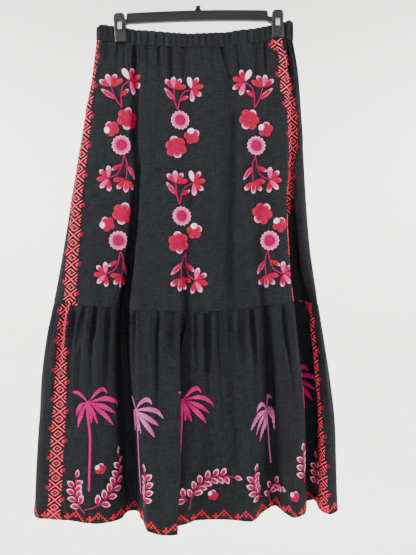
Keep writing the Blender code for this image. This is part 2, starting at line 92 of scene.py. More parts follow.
FRONT_LINES = tuple(FoldLine(*row) for row in (
    ("side_left", -200, -225, -295, -335, 0, -10, -24, -34, -38),
    ("left_turn", -193, -216, -275, -312, 4.5, 3, 0, -6, -2),
    ("left_flat", -174, -193, -235, -260, 4.0, 8, 6, 4, -1),
    ("left_crest", -152, -164, -197, -205, 3.7, 9, 9, 9, 6),
    ("valley_a_lip", -133, -135, -161, -159, 4.0, 7, 6, 3, -14),
    ("valley_a_floor", -124, -128, -158, -145, 4.2, -1, -8, -38, -48),
    ("valley_a_rise", -119, -123, -147, -133, 4.5, -1, -9, -40, -52),
    ("valley_a_edge", -111, -114, -130, -114, 7, 8, 6, 2, -22),
    ("lobe_left", -93, -97, -109, -94, 8, 10, 11, 11, 20),
    ("lobe_middle", -64, -64, -64, -66, 8, 11, 12, 12, 29),
    ("lobe_edge", -39, -39, -35, -40, 8, 10, 10, 10, 23),
    ("lobe_under", -27, -25, -24, -47, 7, 6, 4, -6, 0),
    ("step_floor", -16, -14, -12, -28, 6, 6, 4, 1, -10),
    ("centre_a", 4, 6, 10, 3, 8, 10, 10, 9, -28),
    ("centre_b", 31, 35, 35, 48, 8, 11, 11, 10, -27),
    ("valley_b", 59, 69, 67, 76, 5, 2, 0, 0, -18),
    ("crest_b", 78, 90, 93, 103, 8, 9, 10, 10, -11),
    ("valley_c_lip", 101, 111, 113, 130, 6, 9, 9, 8, -37),
    ("valley_c", 119, 125, 130, 158, 4.5, 6, 4, -6, -60),
    ("valley_c_edge", 133, 138, 145, 174, 4.0, 8, 8, 6, -28),
    ("right_crest", 147, 153, 165, 190, 3.7, 9, 10, 10, -5),
    ("valley_d_lip", 162, 170, 186, 214, 3.7, 7, 5, 3, -17),
    ("valley_d_floor", 171, 187, 199, 229, 3.7, -5, -22, -46, -68),
    ("valley_d_rise", 175, 193, 222, 243, 3.7, -6, -25, -50, -72),
    ("valley_d_edge", 179, 197, 229, 248, 4.0, 0, -12, -26, -34),
    ("flap", 183, 201, 236, 262, 3.5, -2, -9, -16, -17),
    ("side_right", 187, 206, 245, 285, 0, -10, -24, -34, -40),
))

BACK_LINES = tuple(FoldLine(*row) for row in (
    ("back_right_turn", 181, 197, 234, 266, -4.0, -24, -46, -64, -80),
    ("back_right_crest", 156, 165, 188, 210, -3.7, -30, -60, -86, -104),
    ("back_valley_1", 120, 126, 148, 152, -4.5, -24, -46, -62, -74),
    ("back_crest_1", 88, 94, 110, 118, -8, -30, -60, -88, -112),
    ("back_crest_2", 50, 52, 54, 62, -8, -31, -62, -90, -108),
    ("back_valley_2", 24, 24, 20, 18, -6, -25, -48, -64, -68),
    ("back_rise_2", 10, 8, 4, -2, -6, -25, -50, -68, -72),
    ("back_crest_3", -16, -20, -28, -36, -8, -30, -62, -90, -114),
    ("back_crest_4", -54, -58, -70, -84, -8, -31, -62, -92, -110),
    ("back_valley_3", -88, -94, -112, -126, -6, -25, -49, -66, -72),
    ("back_crest_5", -120, -128, -156, -176, -4.5, -29, -60, -86, -106),
    ("back_left_crest", -152, -166, -206, -236, -3.7, -27, -54, -76, -92),
    ("back_valley_4", -174, -190, -238, -272, -4.0, -22, -42, -58, -68),
    ("back_left_turn", -193, -215, -276, -316, -4.5, -20, -40, -54, -62),
))

# Drop below the waist seam, then the skirt's left and right edge there.
OUTLINE = (
    (0, -200, 187), (60, -208, 198), (148, -225, 206), (382, -269, 225), (519, -296, 245),
    (587, -310, 256), (675, -321, 270), (762, -326, 280), (850, -331, 283), (943, -335, 286),
)

# Place across the waist, then the height of its seam and of the band above it.
WAIST_LINE = (
    (-200, -141, 25), (-185, -142, 30), (-166, -145, 30), (-138, -149, 30), (-113, -153, 29),
    (-74, -155.5, 28), (-35, -157.5, 27), (0, -157.8, 27), (35, -156.5, 27), (70, -152.7, 27),
    (105, -148.4, 27.5), (129, -144, 28), (158, -140, 30), (172, -139.5, 34), (181, -140.5, 37),
    (187, -142, 36),
)
CLIP_TIPS = (-150.6, 155.6)


# ---- Curves -----------------------------------------------------------------------------------


def monotone_curve(t: ArrayLike, values: ArrayLike, at: ArrayLike) -> np.ndarray:
    """Read the curve through values that never passes beyond them.

    Args:
        t: where the values are given, rising.
        values: the values there.
        at: where the curve is read.

    Returns:
        The values of the curve at those places.
    """
    t = np.asarray(t, dtype=float)
    values = np.asarray(values, dtype=float)
    step = np.diff(t)
    rise = np.diff(values) / step
    before = 2.0 * step[1:] + step[:-1]
    after = step[1:] + 2.0 * step[:-1]
    same = rise[:-1] * rise[1:] > 0.0
    low = np.where(same, rise[:-1], 1.0)
    high = np.where(same, rise[1:], 1.0)
    inner = np.where(same, (before + after) / (before / low + after / high), 0.0)
    slopes = np.concatenate((rise[:1], inner, rise[-1:]))
    at = np.clip(np.asarray(at, dtype=float), t[0], t[-1])
    index = np.clip(np.searchsorted(t, at, side="right") - 1, 0, len(t) - 2)
    width = step[index]
    f = (at - t[index]) / width
    g = 1.0 - f
    start = (1.0 + 2.0 * f) * g ** 2 * values[index] + f * g ** 2 * width * slopes[index]
    end = (3.0 - 2.0 * f) * values[index + 1] - g * width * slopes[index + 1]
    return start + f ** 2 * end


def smooth(value: ArrayLike) -> np.ndarray:
    """Rise from 0 to 1 with soft ends."""
    value = np.clip(value, 0.0, 1.0)
    return value * value * (3.0 - 2.0 * value)


def waist_height(x: ArrayLike) -> tuple[np.ndarray, np.ndarray]:
    """Seam height and band height at places across the waist."""
    table = np.array(WAIST_LINE, dtype=float)
    return monotone_curve(table[:, 0], table[:, 1], x), monotone_curve(table[:, 0], table[:, 2], x)


def unit(vectors: np.ndarray) -> np.ndarray:
    """Vectors of length one, along the last axis."""
    return vectors / np.maximum(np.linalg.norm(vectors, axis=-1, keepdims=True), 1e-9)


def to_pixels(points: np.ndarray) -> tuple[np.ndarray, np.ndarray]:
    """Where points show in the photograph's frame.

    Args:
        points: places in mm, along the last axis.

    Returns:
        The pixel columns and the pixel rows.
    """
    depth = points[..., 1] - CAMERA_PLACE[1]
    across = CENTRE_PIXEL[0] + FOCAL_PIXELS * (points[..., 0] - CAMERA_PLACE[0]) / depth
    down = CENTRE_PIXEL[1] - FOCAL_PIXELS * (points[..., 2] - CAMERA_PLACE[2]) / depth
    return across, down


# ---- Materials --------------------------------------------------------------------------------


def linear(code: str) -> tuple[float, float, float, float]:
    """Turn a hex colour to the linear colour that a shader takes.

    Args:
        code: an sRGB hex value, such as '#31323A'.

    Returns:
        Its linear colour, with full alpha.
    """
    parts = [int(code[i:i + 2], 16) / 255.0 for i in (1, 3, 5)]
    turned = [c / 12.92 if c <= 0.04045 else ((c + 0.055) / 1.055) ** 2.4 for c in parts]
    return (turned[0], turned[1], turned[2], 1.0)


def connect(tree: bpy.types.NodeTree, node: bpy.types.Node, links: dict) -> None:
    """Feed inputs, each from a socket or from a node's first output.

    Args:
        tree: the node tree.
        node: the node that is fed.
        links: the source of each input, by the input's name or number.
    """
    for name, source in links.items():
        if isinstance(source, bpy.types.Node):
            source = source.outputs[0]
        tree.links.new(source, node.inputs[name])


def add_node(tree: bpy.types.NodeTree, kind: str, settings: dict, links: dict) -> bpy.types.Node:
    """Add a node to a material.

    Args:
        tree: the material's node tree.
        kind: the node's type, after ShaderNode.
        settings: its properties by name, and its input values by socket name or number.
        links: the socket or the node that feeds each input, by socket name or number.

    Returns:
        The new node.
    """
    node = tree.nodes.new("ShaderNode" + kind)
    for name, value in settings.items():
        if isinstance(name, str) and name in node.bl_rna.properties:
            setattr(node, name, value)
        else:
            node.inputs[name].default_value = value
    connect(tree, node, links)
    return node


def new_material(
        name: str,
        constants: dict) -> tuple[bpy.types.Material, bpy.types.NodeTree, bpy.types.Node]:
    """Start a material.

    Args:
        name: its name.
        constants: what its shader's sockets hold where that is the same all over.

    Returns:
        The material, its node tree and its shader.
    """
    material = bpy.data.materials.new(name)
    material.use_nodes = True
    tree = material.node_tree
    shader = tree.nodes["Principled BSDF"]
    for socket, value in constants.items():
        shader.inputs[socket].default_value = value
    return material, tree, shader


def band_scale(pitch: float) -> float:
    """Scale of a Wave texture that gives one band each pitch, in the units of its vector."""
    return 2.0 * math.pi / 20.0 / pitch


@dataclass(frozen=True)
class LinenFinish:
    """Matt black plain-woven linen-cotton, softly slubbed.

    Real threads stand about 0.55 mm apart.  They are drawn 1.1 mm apart, so that the weave
    still shows, and slubs are drawn as long soft streaks along both thread directions.
    """

    name: str = "black_woven_linen"
    ground: str = "#0A0B0D"
    light: str = "#1E1F23"
    thread_pitch: float = 1.1
    slub_length: float = 26.0
    slub_stretch: float = 14.0
    roughness: float = 0.92
    weave_depth: float = 0.25

    def build(self) -> bpy.types.Material:
        """Make the material.

        Returns:
            The new material.
        """
        material, tree, shader = new_material(
            self.name, {"Roughness": self.roughness, "Specular IOR Level": 0.1})
        cloth = add_node(tree, "UVMap", {"uv_map": "cloth_mm"}, {})
        slubs = []
        for across, down in ((1.0, 1.0 / self.slub_stretch), (1.0 / self.slub_stretch, 1.0)):
            laid = add_node(tree, "Mapping", {"Scale": (across, down, 1.0)}, {"Vector": cloth})
            slubs.append(add_node(
                tree, "TexNoise",
                {"Scale": self.slub_stretch / self.slub_length, "Detail": 3.0, "Roughness": 0.6},
                {"Vector": laid}))
        half = add_node(tree, "Math", {"operation": "MULTIPLY", 1: 0.5}, {0: slubs[1]})
        both = add_node(tree, "Math", {"operation": "MULTIPLY_ADD", 1: 0.5}, {0: slubs[0], 2: half})
        tone = add_node(tree, "MapRange", {"From Min": 0.4, "From Max": 0.6}, {"Value": both})
        colour = add_node(
            tree, "Mix", {"data_type": "RGBA", 6: linear(self.ground), 7: linear(self.light)},
            {0: tone})
        waves = [add_node(
            tree, "TexWave",
            {"bands_direction": way, "Scale": band_scale(self.thread_pitch), "Distortion": 0.6,
             "Detail": 1.0}, {"Vector": cloth}).outputs["Fac"] for way in ("X", "Y")]
        weave = add_node(tree, "Math", {"operation": "MAXIMUM"}, {0: waves[0], 1: waves[1]})
        relief = add_node(tree, "Math", {"operation": "ADD"}, {0: weave, 1: both})
        bump = add_node(
            tree, "Bump", {"Strength": self.weave_depth, "Distance": 0.4 * MM}, {"Height": relief})
        connect(tree, shader, {"Base Color": colour.outputs[2], "Normal": bump})
        return material


@dataclass(frozen=True)
class SatinThread:
    """Rayon embroidery thread laid side by side in satin stitch, with a soft sheen.

    Real threads lie 0.4 mm apart.  They are drawn 0.9 mm apart, so that the stitches show.
    The attribute "shade" runs from the first colour at 0 over the second to the third at 1.
    """

    name: str
    first: str
    second: str
    third: str
    thread_pitch: float = 0.9
    roughness: float = 0.5

    def build(self) -> bpy.types.Material:
        """Make the material.

        Returns:
            The new material.
        """
        material, tree, shader = new_material(
            self.name, {"Roughness": self.roughness, "Specular IOR Level": 0.04})
        stitches = add_node(tree, "UVMap", {"uv_map": "stitch_mm"}, {})
        shade = add_node(tree, "Attribute", {"attribute_name": "shade"}, {})
        laid = add_node(tree, "Mapping", {"Scale": (1.0, 0.16, 1.0)}, {"Vector": stitches})
        streak = add_node(tree, "TexNoise", {"Scale": 1.1, "Detail": 2.0}, {"Vector": laid})
        shift = add_node(
            tree, "MapRange",
            {"From Min": 0.3, "From Max": 0.7, "To Min": -0.13, "To Max": 0.13}, {"Value": streak})
        mixed = add_node(
            tree, "Math", {"operation": "ADD", "use_clamp": True},
            {0: shade.outputs["Fac"], 1: shift})
        lower = add_node(tree, "MapRange", {"From Max": 0.5}, {"Value": mixed})
        upper = add_node(tree, "MapRange", {"From Min": 0.5}, {"Value": mixed})
        blended = add_node(
            tree, "Mix", {"data_type": "RGBA", 6: linear(self.first), 7: linear(self.second)},
            {0: lower})
        colour = add_node(
            tree, "Mix", {"data_type": "RGBA", 7: linear(self.third)},
            {0: upper, 6: blended.outputs[2]})
        dark = add_node(
            tree, "MapRange",
            {"From Min": 0.3, "From Max": 0.7, "To Min": 0.72, "To Max": 1.0}, {"Value": streak})
        worked = add_node(
            tree, "HueSaturation", {"Saturation": 1.0},
            {"Value": dark, "Color": colour.outputs[2]})
        ridges = add_node(
            tree, "TexWave",
            {"Scale": band_scale(self.thread_pitch), "Distortion": 0.8, "Detail": 1.0},
            {"Vector": stitches})
        bump = add_node(
            tree, "Bump", {"Strength": 0.45, "Distance": 0.35 * MM},
            {"Height": ridges.outputs["Fac"]})
        connect(tree, shader, {"Base Color": worked, "Normal": bump})
        return material


@dataclass(frozen=True)
class MouldedPlastic:
    """Injection-moulded polystyrene with the fine even grain of its mould, drawn 0.8 mm wide."""

    name: str
    ground: str
    light: str
    roughness: float
    grain: float = 0.8

    def build(self) -> bpy.types.Material:
        """Make the material.

        Returns:
            The new material.
        """
        material, tree, shader = new_material(self.name, {"Specular IOR Level": 0.3})
        place = add_node(tree, "TexCoord", {}, {}).outputs["Object"]
        cloudy = add_node(
            tree, "TexNoise", {"Scale": 1.0 / (18.0 * MM), "Detail": 3.0}, {"Vector": place})
        colour = add_node(
            tree, "Mix", {"data_type": "RGBA", 6: linear(self.ground), 7: linear(self.light)},
            {0: cloudy})
        gloss = add_node(
            tree, "MapRange", {"To Min": self.roughness - 0.06, "To Max": self.roughness + 0.08},
            {"Value": cloudy})
        grain = add_node(
            tree, "TexNoise", {"Scale": 1.0 / (self.grain * MM), "Detail": 1.0}, {"Vector": place})
        bump = add_node(
            tree, "Bump", {"Strength": 0.12, "Distance": 0.05 * MM}, {"Height": grain})
        connect(tree, shader,
                {"Base Color": colour.outputs[2], "Roughness": gloss, "Normal": bump})
        return material


@dataclass(frozen=True)
class DrawnSteel:
    """Bright drawn steel: long faint die marks along the wire or strip."""

    name: str
    colour: str
    roughness: float
    stretch: tuple[float, float, float] = (1.0, 1.0, 0.08)

    def build(self) -> bpy.types.Material:
        """Make the material.

        Returns:
            The new material.
        """
        material, tree, shader = new_material(
            self.name, {"Metallic": 1.0, "Base Color": linear(self.colour)})
        place = add_node(tree, "TexCoord", {}, {}).outputs["Object"]
        laid = add_node(tree, "Mapping", {"Scale": self.stretch}, {"Vector": place})
        marks = add_node(
            tree, "TexNoise", {"Scale": 1.0 / (0.6 * MM), "Detail": 2.0}, {"Vector": laid})
        gloss = add_node(
            tree, "MapRange", {"To Min": self.roughness - 0.06, "To Max": self.roughness + 0.1},
            {"Value": marks})
        bump = add_node(tree, "Bump", {"Strength": 0.1, "Distance": 0.03 * MM}, {"Height": marks})
        connect(tree, shader, {"Roughness": gloss, "Normal": bump})
        return material


@dataclass(frozen=True)
class MattPaint:
    """Matt emulsion paint on the floor and the backdrop."""

    name: str
    colour: str

    def build(self) -> bpy.types.Material:
        """Make the material."""
        return new_material(self.name, {
            "Base Color": linear(self.colour), "Roughness": 0.95, "Specular IOR Level": 0.1})[0]


# ---- Cloth ------------------------------------------------------------------------------------


class FoldLoop:
    """The closed loop of cloth, read at a list of drops below the waist seam."""

    def __init__(self, drops: np.ndarray) -> None:
        """Place every fold line at every drop.

        Args:
            drops: distances below the waist seam, in mm.
        """
        table = np.array([line[1:] for line in FRONT_LINES + BACK_LINES], dtype=float)
        outline = np.array(OUTLINE, dtype=float)
        x = np.array([monotone_curve(LINE_DROPS, row[:4], drops) for row in table])
        out = np.array([monotone_curve(DEPTH_DROPS, row[4:], drops) for row in table])
        left = monotone_curve(outline[:, 0], outline[:, 1], drops)
        right = monotone_curve(outline[:, 0], outline[:, 2], drops)
        last = x[len(FRONT_LINES) - 1]
        x = left + (x - x[0]) / (last - x[0]) * (right - left)
        self.corners = np.stack((x, -out), axis=2)

    def step_counts(self, step: float) -> list[int]:
        """Steps in each stretch between two lines, from its mean length over all drops.

        Args:
            step: usual length of a step, in mm.

        Returns:
            The number of steps in each stretch.
        """
        ring = np.concatenate((self.corners, self.corners[:1]))
        spans = np.linalg.norm(np.diff(ring, axis=0), axis=2).mean(axis=1)
        return [max(1, round(span / step)) for span in spans]

    def section(self, row: int, counts: list[int], first: int, last: int, fine: int) -> np.ndarray:
        """Points along one row of the loop.

        Args:
            row: number of the drop.
            counts: steps in each stretch.
            first: the fold line where the section starts.
            last: the fold line where it ends.
            fine: how many points each step is divided into.

        Returns:
            An array of (x, y).
        """
        corners = self.corners[:, row]
        total = len(corners)
        ring = np.vstack((corners[-2:], corners, corners[:3]))
        lengths = np.linalg.norm(np.diff(ring, axis=0), axis=1)
        t = np.concatenate(([0.0], np.cumsum(lengths)))
        places = []
        for k in range(first, last):
            number = counts[k % total] * fine
            places.append(t[k + 2] + (t[k + 3] - t[k + 2]) * np.arange(number) / number)
        places.append([t[last + 2]])
        places = np.concatenate(places)
        return np.column_stack(
            (monotone_curve(t, ring[:, 0], places), monotone_curve(t, ring[:, 1], places)))


class Crease(NamedTuple):
    """A soft groove pressed into the front: its two ends in pixels, its width and depth in mm."""

    x_top: float
    y_top: float
    x_low: float
    y_low: float
    width: float
    depth: float


class Tuck(NamedTuple):
    """A stretch of cloth beside one fold line that leans over or under its neighbour.

    It gives the line's name, the stretch's width, the heights between which it leans, and how
    far it leans to the right, all in mm.
    """

    line: str
    width: float
    z_top: float
    z_low: float
    lean: float


UPPER_TUCKS = (
    Tuck("valley_a_floor", 36.0, -330.0, -664.0, 15.0),
    Tuck("valley_d_floor", 18.0, -400.0, -665.0, -10.0),
    Tuck("valley_d_edge", 14.0, -330.0, -664.0, -14.0),
)
TIER_TUCKS = (
    Tuck("lobe_edge", 11.0, -690.0, -1060.0, 3.0), Tuck("lobe_under", 12.0, -690.0, -1060.0, -8.0),
    Tuck("valley_d_floor", 14.0, -655.0, -1080.0, -5.0),
    Tuck("valley_d_rise", 16.0, -655.0, -930.0, 13.0),
    Tuck("valley_d_edge", 12.0, -655.0, -960.0, -7.0),
)

UPPER_CREASES = tuple(Crease(*row) for row in (
    (124, 44, 124, 62, 4.0, 1.6), (135, 43, 134.5, 66, 5.0, 2.6),
    (135, 66, 135.5, 150, 7.0, 1.4), (159, 46, 159, 64, 4.0, 1.4),
    (170, 47, 171, 76, 5.0, 1.8), (183, 46, 184, 74, 4.0, 1.2),
    (189, 47, 190, 110, 6.0, 1.3), (222, 46, 230, 76, 6.0, 2.2),
    (230, 76, 229, 96, 6.0, 1.2), (256, 44, 257, 76, 6.0, 1.8),
    (265, 42, 266, 70, 4.0, 1.2), (160, 105, 161, 155, 10.0, 0.9),
    (236, 116, 235, 205, 8.0, 1.8), (235, 205, 230, 292, 9.0, 1.5),
    (129, 190, 126, 300, 9.0, 1.6), (288, 48, 290, 74, 5.0, 2.0),
    (207, 200, 209, 300, 14.0, 0.9), (88, 120, 80, 280, 12.0, 0.8),
    (110, 43, 107, 58, 4.0, 1.2), (147, 45, 147, 58, 3.6, 1.1),
    (203, 47, 203, 66, 4.0, 1.1), (243, 46, 246, 66, 4.0, 1.2),
))

TIER_CREASES = tuple(Crease(*row) for row in (
    (84, 307, 75, 350, 5.0, 2.2), (107, 307, 105, 382, 6.0, 2.0),
    (151, 313, 151, 352, 5.0, 1.8), (168, 314, 168, 350, 5.0, 1.8),
    (184, 314, 184, 392, 9.0, 2.2), (195, 314, 195, 350, 5.0, 1.6),
    (208, 314, 209, 372, 7.0, 2.0), (219, 314, 230, 392, 7.0, 2.0),
    (230, 392, 240, 472, 9.0, 1.8), (251, 311, 256, 362, 6.0, 2.0),
    (268, 307, 272, 402, 9.0, 2.4), (62, 330, 58, 420, 8.0, 1.4),
    (96, 307, 94, 338, 4.0, 1.6), (160, 314, 161, 334, 4.0, 1.4),
    (240, 312, 243, 345, 5.0, 1.6), (281, 305, 286, 345, 4.0, 1.6),
    (205, 420, 213, 500, 10.0, 1.2), (160, 420, 164, 520, 12.0, 1.2),
))


@dataclass
class PanelCut:
    """How one cloth panel is cut and gathered, in mm but for its flat size, in metres.

    It lies between two fold lines, in steps that are each divided into finer ones.  A gather
    takes up a number of steps, and dies out over its reach down the panel.
    """

    name: str
    first: int
    last: int
    top_drop: float
    length: float
    step: float
    fine: int
    row_step: float
    per_gather: int
    gather: float
    fine_gather: float
    reach: float
    flat: Pair
    area: float
    creases: tuple[Crease, ...] = ()
    hem: bool = False
    tucks: tuple[Tuck, ...] = ()
    crease_gain: float = 2.3
    lip_share: float = 0.4
    tuck_fade: float = 70.0


# A place is looked for this close to a pixel, on the foremost layer of cloth there.
CLOSE_PIXELS = 5.0
LAYER_MM = 9.0
FAR = 1e6


class Spot(NamedTuple):
    """A place on a grid of cloth: a column, which may be between two, and a height in mm."""

    column: float
    z: float


@dataclass(eq=False)
class ClothGrid:
    """A stretch of cloth as a grid of points, in mm: rows down it, and columns along the loop.

    rows are distances below the cloth's own top, which lies top_drop below the waist seam, and
    seam_z is the height of the waist seam over each column.  way is 1 where the columns run to
    the right, seen from the front, and seam_column is the column at a side seam.
    """

    rows: np.ndarray
    top_drop: float
    seam_z: np.ndarray
    points: np.ndarray
    way: float = 1.0
    seam_column: int = 0

    def __post_init__(self) -> None:
        """Measure the grid along its rows, and find its normals."""
        self.across = self.arc_length(self.points)
        self.normals = unit(
            np.cross(np.gradient(self.points, axis=0), np.gradient(self.points, axis=1)))

    @staticmethod
    def arc_length(points: np.ndarray) -> np.ndarray:
        """Distance along each row from its first column."""
        steps = np.linalg.norm(np.diff(points, axis=1), axis=2)
        return np.hstack((np.zeros((len(points), 1)), np.cumsum(steps, axis=1)))

    def row_at(self, column: np.ndarray, z: np.ndarray) -> np.ndarray:
        """Row of the grid at a height, at each column.

        Args:
            column: columns, which may be between two.
            z: a height at each, in mm.

        Returns:
            The rows, which may be between two.
        """
        seam = np.interp(column, np.arange(len(self.seam_z)), self.seam_z)
        drop = np.clip(seam - z - self.top_drop, self.rows[1], self.rows[-1])
        return np.interp(drop, self.rows, np.arange(len(self.rows)))

    def beside_seam(self, distance: float, z: float) -> Spot:
        """Find the place beside the side seam at one height.

        Args:
            distance: distance along the cloth from the seam, in mm.
            z: height, in mm.

        Returns:
            The place on the cloth.
        """
        row = int(round(float(self.row_at(np.array([self.seam_column]), np.array([z]))[0])))
        along = self.across[row, self.seam_column] + distance
        column = np.interp(along, self.across[row], np.arange(self.across.shape[1]))
        return Spot(float(column), z)

    def spot_at_pixel(self, px: float, py: float, behind: float = -99.0) -> Spot:
        """Find the visible place that shows at a pixel of the photograph's frame.

        Args:
            px: pixel column.
            py: pixel row.
            behind: depth of the fold in front, in mm; nothing nearer than that is taken.

        Returns:
            The place on the cloth.
        """
        shown_x, shown_y = to_pixels(self.points)
        away = np.hypot(shown_x - px, shown_y - py)
        depth = self.points[:, :, 1]
        away = np.where(depth > behind, away, FAR)
        close = away < (CLOSE_PIXELS if away.min() < CLOSE_PIXELS else away.min() + 2.0)
        front = close & (depth < depth[close].min() + LAYER_MM)
        score = np.where(front, away, 2.0 * FAR)
        row, column = np.unravel_index(int(np.argmin(score)), score.shape)
        aside = min(column + 1, score.shape[1] - 1)
        before = max(aside - 2, 0)
        per_column = (shown_x[row, aside] - shown_x[row, before]) / max(aside - before, 1)
        shift = 0.0
        if abs(per_column) > 0.3:
            shift = float(np.clip((px - shown_x[row, column]) / per_column, -1.0, 1.0))
        depth_here = depth[row, column] - CAMERA_PLACE[1]
        z = self.points[row, column, 2] + (shown_y[row, column] - py) * depth_here / FOCAL_PIXELS
        return Spot(float(column + shift), float(z))

    def spot_at(self, x: float, z: float) -> Spot:
        """Find the place at one x and height.

        Args:
            x: place across, in mm.
            z: height, in mm.

        Returns:
            The place on the cloth.
        """
        middle = len(self.seam_z) // 2
        row = int(np.argmin(np.abs(self.seam_z[middle] - self.top_drop - self.rows - z)))
        column = int(np.argmin(np.abs(self.points[row, :, 0] - x)))
        return Spot(float(column), z)

    @staticmethod
    def read(table: np.ndarray, row: np.ndarray, column: np.ndarray) -> np.ndarray:
        """Read a table of the grid between its rows and columns.

        Args:
            table: values at the grid's points.
            row: rows.
            column: a column for each row.

        Returns:
            The values there, one place a row.
        """
        r = np.clip(np.floor(row).astype(int), 0, table.shape[0] - 2)
        c = np.clip(np.floor(column).astype(int), 0, table.shape[1] - 2)
        fr = (row - r)[:, None]
        fc = (column - c)[:, None]
        part = table.reshape(table.shape[0], table.shape[1], -1)
        top = part[r, c] * (1 - fc) + part[r, c + 1] * fc
        low = part[r + 1, c] * (1 - fc) + part[r + 1, c + 1] * fc
        return top * (1 - fr) + low * fr

    def place(
            self, spot: Spot, flat: np.ndarray, height: np.ndarray,
            with_grain: bool) -> np.ndarray:
        """Lay points of a flat drawing onto the cloth.

        Args:
            spot: where the drawing's origin lies.
            flat: points to the right of and below the origin, in mm, one a row.
            height: how far each stands above the cloth, in mm.
            with_grain: True where the drawing follows the columns, and False where it is upright.

        Returns:
            The points in space, in mm.
        """
        here = np.full(len(flat), spot.column)
        z = spot.z - flat[:, 1]
        row = self.row_at(here, z)
        target = self.read(self.across, row, here)[:, 0] + flat[:, 0]
        if not with_grain:
            home = self.row_at(here[:1], np.array([spot.z]))
            x_home = self.read(self.points, home, here[:1])[0, 0]
            target = target - self.way * (self.read(self.points, row, here)[:, 0] - x_home)
        r = np.clip(np.floor(row).astype(int), 0, len(self.rows) - 2)
        part = (row - r)[:, None]
        lengths = self.across[r] * (1 - part) + self.across[r + 1] * part
        target = np.clip(target, 0.5, lengths[:, -1] - 0.5)
        column = np.clip((lengths < target[:, None]).sum(axis=1) - 1, 0, lengths.shape[1] - 2)
        index = np.arange(len(flat))
        low = lengths[index, column]
        high = lengths[index, column + 1]
        column = column + (target - low) / np.maximum(high - low, 1e-6)
        row = self.row_at(column, z)
        points = self.read(self.points, row, column)
        normals = unit(self.read(self.normals, row, column))
        return points + normals * height[:, None]

    def joined(self, after: "ClothGrid", overlap: int) -> "ClothGrid":
        """Join the end of this cloth to the start of the next, with the seam between them.

        Args:
            after: the cloth that follows.
            overlap: how many columns are taken from each side of the seam.

        Returns:
            The joined stretch.
        """
        seam_z = np.concatenate((self.seam_z[-overlap:-1], after.seam_z[:overlap]))
        points = np.hstack((self.points[:, -overlap:-1], after.points[:, :overlap]))
        return ClothGrid(self.rows, self.top_drop, seam_z, points, 1.0, overlap - 1)


